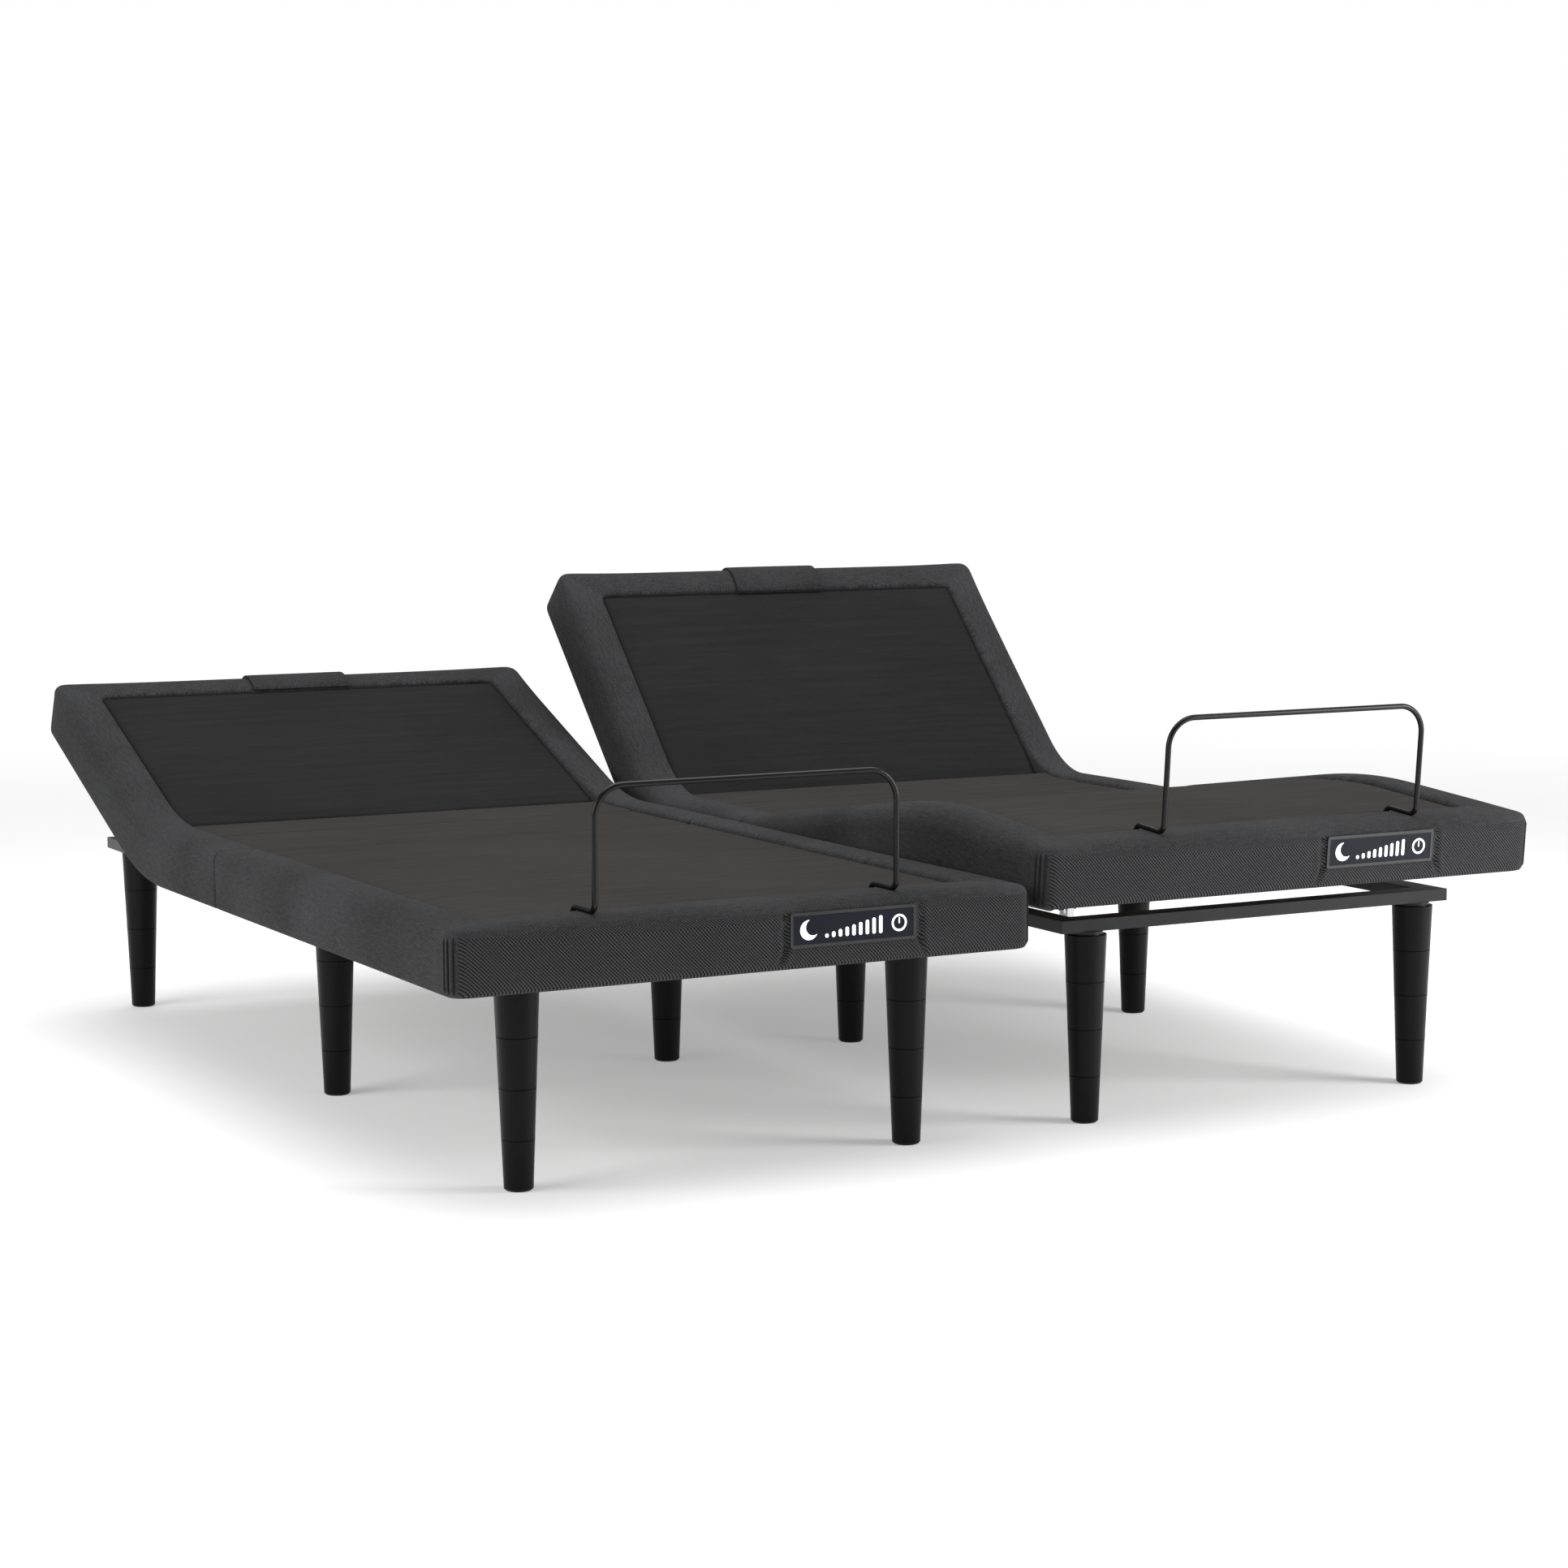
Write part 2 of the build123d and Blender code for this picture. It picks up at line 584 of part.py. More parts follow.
# ---- lifting gear ----------------------------------------------------------------------
def lift(y, angle, towards, lever_x, swing):
    """Torque tube, two arms with rollers and the lever that the motor pushes."""
    half = FRAME_HALF - RAIL_WIDE - 0.5
    outer = rod_x(-half, half, y, GEAR_Z, GEAR_R)
    pieces = [outer - rod_x(-half - 1, half + 1, y, GEAR_Z, GEAR_R - TUBE_TURN)]
    end_y, end_z = y + towards * ARM_LENGTH, GEAR_Z
    x0 = ARM_X + ARM_SIDE
    x1 = x0 + ARM_THICK
    arm = block(x0, x1, min(y, end_y), max(y, end_y), GEAR_Z - 9, GEAR_Z + 9)
    arm += rod_x(x0, x1, y, GEAR_Z, GEAR_R + 6) + rod_x(x0, x1, end_y, end_z, 9)
    axle = rod_x(ARM_X - 12, x0, end_y, end_z, PIN_R)
    roller = rod_x(ARM_X - ROLLER_HALF, ARM_X + ROLLER_HALF, end_y, end_z, ROLLER_R)
    roller -= rod_x(ARM_X - 13, x0, end_y, end_z, PIN_R + PIN_PLAY)
    arms = []
    for shape in (arm - outer, axle, roller):
        arms += both_sides(shape)
    arms = turn(arms, towards * angle, y, GEAR_Z)
    pieces += arms
    # the lever hangs so that it is upright in the middle of its swing
    lever = []
    z = GEAR_Z - LEVER
    for x0 in (lever_x - 10 - PLATE, lever_x + 10):
        x1 = x0 + PLATE
        plate = rod_x(x0, x1, y, z, LEVER_R)
        plate += block(x0, x1, y - LEVER_R, y + LEVER_R, z, GEAR_Z)
        plate += rod_x(x0, x1, y, GEAR_Z, GEAR_R + 6)
        lever.append(plate - outer - rod_x(x0 - 1, x1 + 1, y, z, PIN_R))
    lever.append(rod_x(lever_x - 18, lever_x + 18, y, z, PIN_R))
    return pieces + turn(lever, -towards * swing / 2, y, GEAR_Z)


def head_lift():
    return lift(HEAD_GEAR_Y, HEAD_ARM_FLAT, 1, -MOTOR_X, HEAD_ARM_RATIO * HEAD_TRAVEL)


def leg_lift():
    return lift(LEG_GEAR_Y, LEG_ARM_FLAT, -1, MOTOR_X, LEG_ARM_RATIO * THIGH_TRAVEL)


def calf_links():
    """Swinging bars with a small roller that carry the foot end of the calf."""
    end_y = LINK_Y - LINK_LENGTH
    x1 = LINK_X - 3
    x0 = x1 - PLATE
    bar = block(x0, x1, end_y, LINK_Y, LINK_Z - 5, LINK_Z + 5)
    bar += rod_x(x0, x1, LINK_Y, LINK_Z, 8) + rod_x(x0, x1, end_y, LINK_Z, 7)
    bar -= rod_x(x0 - 1, x1 + 1, LINK_Y, LINK_Z, LINK_PIN_R + PIN_PLAY)
    axle = rod_x(x1, LINK_X + 8, end_y, LINK_Z, LINK_AXLE_R)
    roller = rod_x(LINK_X - 2, LINK_X + 7, end_y, LINK_Z, LINK_ROLLER_R)
    roller -= rod_x(x1, LINK_X + 8, end_y, LINK_Z, LINK_AXLE_R + PIN_PLAY)
    pieces = []
    for shape in (bar, axle, roller):
        pieces += both_sides(shape)
    return pieces


def motor_body(x, rear_y, towards, tube_end):
    """Gear housing, motor can, guide tube and rear eye of a linear motor."""
    z = GEAR_Z - LEVER
    side, e = HOUSING_HALF, MOTOR_EYE
    y1 = rear_y + towards * 26
    y2 = y1 + towards * HOUSING_LONG
    low, high = min(y1, y2), max(y1, y2)
    housing = block(x - side, x + side, low, high, z - HOUSING_TALL / 2, z + HOUSING_TALL / 2)
    housing = fillet(housing.edges().filter_by(Axis.Y), 12)
    can = rod_y(x + CAN_OFFSET, y1 + towards * 4, y2 + towards * 60, z, CAN_R)
    bridge = block(x + side, x + side + PLATE, low + 14, high - 14, z - 24, z + 24) - can
    tube = rod_y(x, y2, tube_end, z, GUIDE_R) - rod_y(x, y2, tube_end + towards, z, GUIDE_BORE)
    eye = block(x - e, x + e, min(rear_y, y1), max(rear_y, y1), z - e, z + e)
    eye += rod_x(x - e, x + e, rear_y, z, e)
    eye -= rod_x(x - e - 1, x + e + 1, rear_y, z, PIN_R + PIN_PLAY)
    return [housing, can, bridge, tube, eye]


def motor_rod(x, tip_y, towards, tail_y):
    """Moving rod with a slotted end plate round the lever's pin."""
    z = GEAR_Z - LEVER
    e, rim, side = ROD_EYE, ROD_EYE / 2, ROD_EYE_THICK / 2
    shaft = rod_y(x, tail_y, tip_y - towards * e, z, ROD_R)
    tall = SLOT_HALF + rim
    eye = block(x - side, x + side, tip_y - e, tip_y + e, z - tall, z + tall)
    eye -= block(x - side - 1, x + side + 1, tip_y - rim, tip_y + rim, z - SLOT_HALF, z + SLOT_HALF)
    return [shaft, eye]


def lever_tip(gear_y, towards, ratio, travel):
    """Where the motor rod's end plate is when the module is flat."""
    return gear_y - towards * rod_travel(ratio, travel) / 2


def head_motor_parts():
    tip = lever_tip(HEAD_GEAR_Y, 1, HEAD_ARM_RATIO, HEAD_TRAVEL)
    rear = LEG_ROWS["mid"][0]
    return motor_body(-MOTOR_X, rear, 1, tip - 40), motor_rod(-MOTOR_X, tip, 1, rear + 180)


def leg_motor_parts():
    tip = lever_tip(LEG_GEAR_Y, -1, LEG_ARM_RATIO, THIGH_TRAVEL)
    rear = SEAT_RAIL_Y
    return motor_body(MOTOR_X, rear, -1, tip + 40), motor_rod(MOTOR_X, tip, -1, rear - 170)


def control_box():
    """Power and control box under the seat board, with a mains inlet socket."""
    x0, x1, y0, y1 = CONTROL_BOX
    case = block(x0, x1, y0, y1, BOARD_Z - CONTROL_TALL, BOARD_Z)
    case = fillet(case.edges().filter_by(Axis.Z), 8)
    inlet = block(x0 + 50, x1 - 50, y1 - 14, y1 + 1, BOARD_Z - 36, BOARD_Z - 14)
    return [case - inlet]


# ---- all nodes --------------------------------------------------------------------------
def module_nodes(side):
    """Every node of one module, posed: name, shapes."""
    head_motor, head_rod = head_motor_parts()
    leg_motor, leg_rod = leg_motor_parts()
    bar_holes = both_sides(rod_z(BAR_HALF, BAR_END_Y, BOARD_Z - 1, PAD_Z + 1, BAR_R + 1.5))
    foot_board = board(SKIRT_THICK + BOARD_GAP, KNEE_Y - 24) - bar_holes[0] - bar_holes[1]
    calf_border = end_border(0, FOOT_LIP, 1, KNEE_Y - KNEE_SKIRT_GAP)
    calf_border = [piece - badge_box(0.3, -5, BADGE_DEEP + 0.3) for piece in calf_border]
    inner_head = MODULE_LENGTH - HEAD_LIP - LIP_GAP
    layout = {
        "base_frame": ("base", base_frame()),
        "seat_board": ("base", [board(THIGH_Y + SEAT_GAP, HEAD_Y - TOP_GAP)]),
        "seat_pad": ("base", pad(THIGH_Y + SEAT_GAP, HEAD_Y - TOP_GAP)),
        "seat_border": ("base", side_border(THIGH_Y + SEAT_GAP, HEAD_Y - SKIRT_GAP)),
        "head_motor": ("base", head_motor),
        "leg_motor": ("base", leg_motor),
        "control_box": ("base", control_box()),
        "head_frame": ("head", head_frame()),
        "head_board": ("head", [board(HEAD_Y + TOP_GAP, MODULE_LENGTH - SKIRT_THICK - BOARD_GAP)]),
        "head_pad": ("head", pad(HEAD_Y + TOP_GAP, inner_head)),
        "head_border": ("head", end_border(MODULE_LENGTH, HEAD_LIP, -1, HEAD_Y + SKIRT_GAP)),
        "head_flap": ("head", head_flap()),
        "thigh_frame": ("thigh", thigh_frame()),
        "thigh_board": ("thigh", [board(KNEE_Y + KNEE_GAP, THIGH_Y - SEAT_GAP)]),
        "thigh_pad": ("thigh", pad(KNEE_Y + KNEE_GAP, THIGH_Y - SEAT_GAP)),
        "thigh_border": ("thigh", side_border(KNEE_Y + KNEE_SKIRT_GAP, THIGH_Y - SEAT_GAP)),
        "calf_frame": ("calf", calf_frame()),
        "calf_board": ("calf", [foot_board]),
        "calf_pad": ("calf", pad(FOOT_LIP + 16, KNEE_Y - 12)),
        "calf_border": ("calf", calf_border),
        "retainer_bar": ("calf", retainer_bar()),
        "light_case": ("calf", light_case()),
        "light_lens": ("calf", light_lens()),
        "head_lift": ("head_lift", head_lift()),
        "leg_lift": ("leg_lift", leg_lift()),
        "calf_links": ("calf_link", calf_links()),
        "head_motor_rod": ("head_rod", head_rod),
        "leg_motor_rod": ("leg_rod", leg_rod),
    }
    return {f"{side}_{name}": pose(section, side, shapes) for name, (section, shapes) in layout.items()}


def shared_nodes():
    """Nodes that hold the same piece of both modules, and the plates between them."""
    def on_both(shapes):
        return pose("base", "left", shapes) + pose("base", "right", shapes)

    return {
        "legs": on_both(legs()),
        "leg_studs": on_both(leg_studs()),
        "hinge_bolts": on_both(hinge_bolts()),
        "joining_plates": joining_plates(),
    }


def write(nodes):
    os.makedirs("parts", exist_ok=True)
    for name, shapes in nodes.items():
        solids = [solid for shape in shapes for solid in shape.solids()]
        shape = solids[0] if len(solids) == 1 else Compound(children=solids)
        shape.label = name
        export_step(shape, f"parts/{name}.step")


if __name__ == "__main__":
    write(shared_nodes())
    for side in REST_HEAD:
        write(module_nodes(side))
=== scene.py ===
# %% [markdown]
# # A split adjustable bed base
# Two upholstered modules stand side by side on tapered legs. Each has a head
# section and a leg section that motors raise. The steel, the motors and the
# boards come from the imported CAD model, and this lesson adds the upholstery,
# the lit plates and every finish.

# %% Load the frame
import json
import math

import bpy
import numpy as np
from mathutils import Matrix, Vector


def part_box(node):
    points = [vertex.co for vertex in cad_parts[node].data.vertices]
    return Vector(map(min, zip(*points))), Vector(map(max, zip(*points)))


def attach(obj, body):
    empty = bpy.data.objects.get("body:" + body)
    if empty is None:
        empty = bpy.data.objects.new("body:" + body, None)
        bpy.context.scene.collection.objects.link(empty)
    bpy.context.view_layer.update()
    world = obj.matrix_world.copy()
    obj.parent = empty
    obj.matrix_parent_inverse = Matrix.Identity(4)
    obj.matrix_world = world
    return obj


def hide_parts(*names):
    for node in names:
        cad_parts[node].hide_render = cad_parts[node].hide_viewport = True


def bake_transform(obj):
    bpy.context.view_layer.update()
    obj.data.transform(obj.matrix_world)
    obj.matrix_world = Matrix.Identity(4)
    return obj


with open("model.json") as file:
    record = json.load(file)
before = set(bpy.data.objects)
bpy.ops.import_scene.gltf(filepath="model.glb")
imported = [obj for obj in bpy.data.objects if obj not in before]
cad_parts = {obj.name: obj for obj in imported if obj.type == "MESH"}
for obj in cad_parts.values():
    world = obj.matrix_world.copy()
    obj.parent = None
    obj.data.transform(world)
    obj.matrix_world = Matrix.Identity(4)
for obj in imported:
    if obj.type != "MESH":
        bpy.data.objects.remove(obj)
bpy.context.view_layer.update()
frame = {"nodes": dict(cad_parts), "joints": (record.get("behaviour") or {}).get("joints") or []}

# %% [markdown]
# ## Where things are
# All soft pieces are first made flat, in a module's own frame: x from its
# centre line, y from its foot face, z from the floor. The hinges of the packed
# model say where the sections fold and how far each one is folded at rest.

# %% Hinges and rest angles
SIDES = ("left", "right")
joints = {joint["name"]: joint for joint in frame["joints"]}
foot_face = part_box("left_calf_border")[0].y


def hinge_place(name):
    """Distance from the foot face and height of a hinge of the flat left module."""
    place = joints["left_" + name]["pos_m"]
    return place[1] - foot_face, place[2]


def rest_angle(side, name):
    return math.radians(-joints[f"{side}_{name}"]["range_deg"][0])


centre_x = {side: joints[f"{side}_head_hinge"]["pos_m"][0] for side in SIDES}
thigh_y, pivot_z = hinge_place("thigh_hinge")
knee_y = hinge_place("knee_hinge")[0]
head_y = hinge_place("head_hinge")[0]
print("hinges at", [round(v, 3) for v in (knee_y, thigh_y, head_y)])

# %% Sizes of the upholstery, in metres
seat_low, seat_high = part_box("left_seat_border")
half_width = (seat_high.x - seat_low.x) / 2
hem_z, crest_z = seat_low.z, seat_high.z
deck_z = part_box("left_seat_pad")[1].z
board_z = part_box("left_seat_pad")[0].z
module_length = 2.032
side_lip, foot_lip, head_lip = 0.080, 0.092, 0.070
wall = 0.040
seam_y = 1.028
half_gap = 0.0006
split_y = 0.700
tuck = 0.0015
print("border", round(hem_z, 4), round(crest_z, 4), "half width", round(half_width, 4))

# %% [markdown]
# ## The camera
# The whole base is seen from the foot of the left module, a little above it,
# through a long lens, so the two modules look nearly parallel.

# %% Place the camera
camera_place = Vector((-2.753, -5.2988, 1.111))
camera_yaw, camera_down, camera_roll = (math.radians(a) for a in (28.22, 6.11, -0.22))
bpy.ops.object.select_all(action="DESELECT")
bpy.ops.object.camera_add(location=camera_place)
camera = bpy.context.object
forward = Vector((math.sin(camera_yaw) * math.cos(camera_down),
                  math.cos(camera_yaw) * math.cos(camera_down), -math.sin(camera_down)))
level = Vector((math.cos(camera_yaw), -math.sin(camera_yaw), 0))
upright = level.cross(forward)
right_way = level * math.cos(camera_roll) + upright * math.sin(camera_roll)
up_way = upright * math.cos(camera_roll) - level * math.sin(camera_roll)
turned = Matrix((right_way, up_way, -forward)).transposed()
camera.matrix_world = Matrix.Translation(camera_place) @ turned.to_4x4()
camera.data.lens = 76.81
camera.data.sensor_width = 36
camera.data.clip_end = 60
bpy.context.scene.camera = camera
print("camera at", camera_place)

# %% [markdown]
# ## Small helpers
# An operator works on all that is selected, so each helper first deselects
# everything and then selects only what it needs.


# %% Helpers for choosing and measuring
def only(piece):
    """Make a piece the one selected and active object."""
    if bpy.context.mode != "OBJECT":
        bpy.ops.object.mode_set(mode="OBJECT")
    bpy.ops.object.select_all(action="DESELECT")
    piece.select_set(True)
    bpy.context.view_layer.objects.active = piece


def points(piece):
    out = np.zeros(len(piece.data.vertices) * 3)
    piece.data.vertices.foreach_get("co", out)
    return out.reshape(-1, 3)


def move_points(piece, places):
    piece.data.vertices.foreach_set("co", places.astype(np.float32).ravel())
    piece.data.update()


def apply(piece, kind, **settings):
    """Add a modifier with these settings and apply it at once."""
    only(piece)
    modifier = piece.modifiers.new(kind.lower(), kind)
    for key, value in settings.items():
        setattr(modifier, key, value)
    bpy.ops.object.modifier_apply(modifier=modifier.name)
    return piece


def block(name, low, high):
    """A cube primitive stretched between two corners, with its place in its mesh."""
    bpy.ops.object.select_all(action="DESELECT")
    middle = [(a + b) / 2 for a, b in zip(low, high)]
    bpy.ops.mesh.primitive_cube_add(size=1, location=middle)
    piece = bpy.context.object
    piece.name = piece.data.name = name
    piece.scale = [b - a for a, b in zip(low, high)]
    bpy.ops.object.transform_apply(location=True, rotation=False, scale=True)
    return piece


def bevel_edges(piece, wanted, width, segments):
    """Round the edges whose two end points and direction pass the test."""
    only(piece)
    bpy.ops.object.mode_set(mode="EDIT")
    bpy.ops.mesh.select_all(action="DESELECT")
    bpy.ops.mesh.select_mode(type="EDGE")
    bpy.ops.object.mode_set(mode="OBJECT")
    spots = points(piece)
    for edge in piece.data.edges:
        a, b = (spots[i] for i in edge.vertices)
        edge.select = bool(wanted(a, b))
    bpy.ops.object.mode_set(mode="EDIT")
    bpy.ops.mesh.bevel(offset=width, segments=segments, affect="EDGES")
    bpy.ops.object.mode_set(mode="OBJECT")
    return piece


def copy_of(piece, name):
    only(piece)
    bpy.ops.object.duplicate()
    twin = bpy.context.object
    twin.name = twin.data.name = name
    return twin


def cut_away(piece, cutter):
    apply(piece, "BOOLEAN", operation="DIFFERENCE", object=cutter, solver="EXACT")
    bpy.data.objects.remove(cutter)
    return piece


print("helpers ready")

# %% [markdown]
# ## Swelling cloth
# Padding pushes its cover outwards, and staples, seams and welts hold the
# cover back. The cover is remeshed to even squares, its held points are
# pinned, and a short cloth simulation lets pressure fill the rest. A limit on
# how far a point may go keeps the cover close to the frame's size.


# %% Fill a cover
PRESSURE = 4.0
CLOTH_MASS = 0.3
CLOTH_STEPS = 20


def puff(piece, voxel, limit, held):
    """Remesh a cover, swell it, and smooth the result. held(places) marks pinned points."""
    only(piece)
    piece.data.remesh_voxel_size = voxel
    bpy.ops.object.voxel_remesh()
    start = points(piece)
    pins = piece.vertex_groups.new(name="held")
    pins.add([int(i) for i in np.nonzero(held(start))[0]], 1.0, "REPLACE")
    cloth = piece.modifiers.new("cloth", "CLOTH")
    cloth.settings.quality = 4
    cloth.settings.mass = CLOTH_MASS
    cloth.settings.use_pressure = True
    cloth.settings.uniform_pressure_force = PRESSURE
    cloth.settings.vertex_group_mass = "held"
    cloth.settings.effector_weights.gravity = 0
    cloth.point_cache.frame_start = 1
    cloth.point_cache.frame_end = CLOTH_STEPS
    for step in range(1, CLOTH_STEPS + 1):
        bpy.context.scene.frame_set(step)
    only(piece)
    bpy.ops.object.modifier_apply(modifier=cloth.name)
    shift = points(piece) - start
    length = np.linalg.norm(shift, axis=1)
    share = np.minimum(1.0, limit / np.maximum(length, 1e-9))
    move_points(piece, start + shift * share[:, None])
    bpy.context.scene.frame_set(1)
    print(piece.name, "swelled by up to", round(float((length * share).max()), 4))
    apply(piece, "SMOOTH", factor=0.5, iterations=2)
    piece.vertex_groups.clear()
    apply(piece, "SUBSURF", levels=1, render_levels=1)
    bpy.ops.object.shade_smooth()
    return piece


# %% [markdown]
# ## Folding a flat piece
# A cover follows its section round each hinge in a smooth curve. The line of
# the hinge height is led along a quadratic curve whose two arms lie on the two
# sections, and each point keeps its distance from that line. At the thigh
# hinge two covers meet, so there the padding of one is pressed together.


# %% Fold and lay
def fold(y, z, hinge_y, reach, angle, way):
    """Fold points beyond a hinge by an angle; way is +1 towards the head, -1 to the foot."""
    s, h = way * (y - hinge_y), z - pivot_z
    t = np.clip((s + reach) / (2 * reach), 0, 1)
    sin_a, cos_a = math.sin(angle), math.cos(angle)
    lean = np.arctan2(t * sin_a, 1 - t + t * cos_a)
    along = -reach * (1 - t) ** 2 + reach * t**2 * cos_a - h * np.sin(lean)
    above = reach * t**2 * sin_a + h * np.cos(lean)
    before, after = s < -reach, s > reach
    along = np.where(before, s, np.where(after, s * cos_a - h * sin_a, along))
    above = np.where(before, h, np.where(after, s * sin_a + h * cos_a, above))
    return hinge_y + way * along, pivot_z + above


def press_in(y, z, hinge_y, start_y, length, angle):
    """Turn points about a hinge little by little, so padding beside it is pressed together."""
    t = np.clip((start_y - y) / length, 0, 1)
    turn = angle * t * t * (3 - 2 * t)
    s, h = hinge_y - y, z - pivot_z
    return hinge_y - s * np.cos(turn) + h * np.sin(turn), pivot_z + s * np.sin(turn) + h * np.cos(turn)


RIGID = 0.0001
KNEE_REACH, HEAD_REACH = 0.110, 0.110
THIGH_LENGTH = 0.130


def lay(piece, side, head_reach=HEAD_REACH):
    """Take a flat piece to its place in a module at rest."""
    place = points(piece)
    x, y, z = place.T
    foot_half = y < (thigh_y + head_y) / 2
    knee = fold(y, z, knee_y, KNEE_REACH, -rest_angle(side, "knee_hinge"), -1)
    thigh = press_in(*knee, thigh_y, seam_y, THIGH_LENGTH, rest_angle(side, "thigh_hinge"))
    head = fold(y, z, head_y, head_reach, rest_angle(side, "head_hinge"), 1)
    y, z = (np.where(foot_half, a, b) for a, b in zip(thigh, head))
    move_points(piece, np.stack([x + centre_x[side], y + foot_face, z], 1))
    return piece


print("fold helpers ready")

# %% [markdown]
# ## The padded border
# A wooden wall with a lip goes round each module, and foam and cloth are
# pulled over it and stapled under the hem. A block with rounded edges gives
# the outside, two cutters open the deck and the space behind the wall, and the
# result is swelled as cloth. The seams at the mitres and corners are held.

# %% Border blank
outer = half_width - tuck
top_z = crest_z - tuck
CORNER_ROUND, CREST_ROUND, HEM_ROUND = 0.026, 0.014, 0.007
SAME = 1e-5
TALL_EDGE = 0.05
PAST = 0.2


def level_with(a, b, axis, value):
    """Whether both ends of an edge lie at the same place on an axis."""
    return abs(a[axis] - value) < SAME and abs(b[axis] - value) < SAME


def border_blank(name, y0, y1, closed_low, lip):
    """Hollowed block between two places along a module, closed at one end."""
    piece = block(name, (-outer, y0, hem_z), (outer, y1, top_z))
    closed, opened = (y0, y1) if closed_low else (y1, y0)

    def corner(a, b):
        return level_with(a, b, 1, closed) and abs(a[2] - b[2]) > TALL_EDGE

    def rim(height):
        return lambda a, b: level_with(a, b, 2, height) and not level_with(a, b, 1, opened)

    bevel_edges(piece, corner, CORNER_ROUND, 5)
    bevel_edges(piece, rim(top_z), CREST_ROUND, 5)
    bevel_edges(piece, rim(hem_z), HEM_ROUND, 3)
    lip_y = (y0 + lip, y1 + PAST) if closed_low else (y0 - PAST, y1 - lip)
    wall_y = (y0 + wall, y1 + PAST) if closed_low else (y0 - PAST, y1 - wall)
    inner, back = half_width - side_lip, half_width - wall
    opening = block("opening", (-inner, lip_y[0], hem_z - PAST), (inner, lip_y[1], top_z + PAST))
    cut_away(piece, opening)
    hollow = block("hollow", (-back, wall_y[0], hem_z - PAST), (back, wall_y[1], board_z))
    return cut_away(piece, hollow)


foot_cover = border_blank("foot_cover", tuck, seam_y - half_gap, True, foot_lip - tuck)
head_cover = border_blank("head_cover", seam_y + half_gap, module_length - tuck, False, head_lip - tuck)
print("blank borders", foot_cover.dimensions, head_cover.dimensions)

# %% [markdown]
# Which points are held is a matter of upholstery: the hem and everything
# behind it is stapled, the mitre of each corner is a seam, the corners of the
# foot carry three welts, and the lit plate clamps the cloth round its case.

# %% What holds the border's cloth
plate_low, plate_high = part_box("left_light_case")
plate_x = ((plate_low.x + plate_high.x) / 2) - centre_x["left"]
plate_z = (plate_low.z + plate_high.z) / 2
plate_half = (plate_high.x - plate_low.x) / 2
plate_tall = (plate_high.z - plate_low.z) / 2
HEM_HOLD, MITRE_HOLD, SEAM_HOLD = 0.007, 0.007, 0.008
LIP_HOLD, WALL_HOLD, BOARD_HOLD = 0.004, 0.006, 0.012
CORNER_HOLD_X, CORNER_HOLD_Y = 0.030, 0.040
PLATE_HOLD_X, PLATE_HOLD_Z = 0.004, 0.003
FOOT_FACE_DEPTH = 0.03


def behind(p, lip, end):
    """Points on the hem, the inner faces and the deck edge of a border."""
    x, y, z = np.abs(p[:, 0]), p[:, 1], p[:, 2]
    from_end = np.abs(y - end)
    inside = (x < half_width - side_lip + LIP_HOLD) & (from_end > lip - LIP_HOLD)
    under = (z < board_z + BOARD_HOLD) & (x < outer - wall + WALL_HOLD) & (from_end > wall - WALL_HOLD)
    return (z < hem_z + HEM_HOLD) | inside | under


def on_mitre(p, lip, end):
    x, from_end = half_width - np.abs(p[:, 0]), np.abs(p[:, 1] - end)
    return np.abs(x * lip / side_lip - from_end) < MITRE_HOLD


def foot_held(p):
    x, y, z = p.T
    corner = (np.abs(x) > outer - CORNER_HOLD_X) & (y < CORNER_HOLD_Y)
    by_plate_x = np.abs(x - plate_x) < plate_half + PLATE_HOLD_X
    by_plate_z = np.abs(z - plate_z) < plate_tall + PLATE_HOLD_Z
    round_plate = by_plate_x & by_plate_z & (y < FOOT_FACE_DEPTH)
    stitched = on_mitre(p, foot_lip, 0) | corner | (y > seam_y - SEAM_HOLD)
    return behind(p, foot_lip, 0) | stitched | round_plate


def head_held(p):
    stitched = on_mitre(p, head_lip, module_length) | (p[:, 1] < seam_y + SEAM_HOLD)
    return behind(p, head_lip, module_length) | stitched


BORDER_VOXEL = 0.008
BORDER_SWELL = 0.0035
puff(foot_cover, BORDER_VOXEL, BORDER_SWELL, foot_held)
puff(head_cover, BORDER_VOXEL, BORDER_SWELL, head_held)
print("border points", len(foot_cover.data.vertices), len(head_cover.data.vertices))

# %% [markdown]
# Cloth that is pulled round the plate's case gathers in short folds. They are
# pressed in, as with a sculpting brush: each fold is a line, and the
# points near it move in a little, less the further away they are. The cloth
# beside a fold stands up by the same rule, which makes the fold read.


# %% Press the folds in
RIDGE_SHARE = 0.45
FADE_IN, FADE_LENGTH = 0.15, 0.8


def press_fold(piece, start, end, width, depth):
    """A shallow crease in the foot face between two (x, z) places."""
    place = points(piece)
    a, b = np.array(start), np.array(end)
    flat = place[:, [0, 2]]
    along = np.clip((flat - a) @ (b - a) / ((b - a) @ (b - a)), 0, 1)
    away = flat - (a + along[:, None] * (b - a))
    distance = np.linalg.norm(away, axis=1)
    crease = np.exp(-((distance / width) ** 2))
    ridge = np.exp(-(((distance - 2 * width) / width) ** 2))
    near = crease - RIDGE_SHARE * ridge
    fade = np.sin(np.pi * np.clip(along * FADE_LENGTH + FADE_IN, 0, 1))
    outside = place[:, 1] < FOOT_FACE_DEPTH
    place[:, 1] += np.where(outside, depth * near * fade, 0)
    move_points(piece, place)


plate_bottom, plate_top = plate_z - plate_tall, plate_z + plate_tall
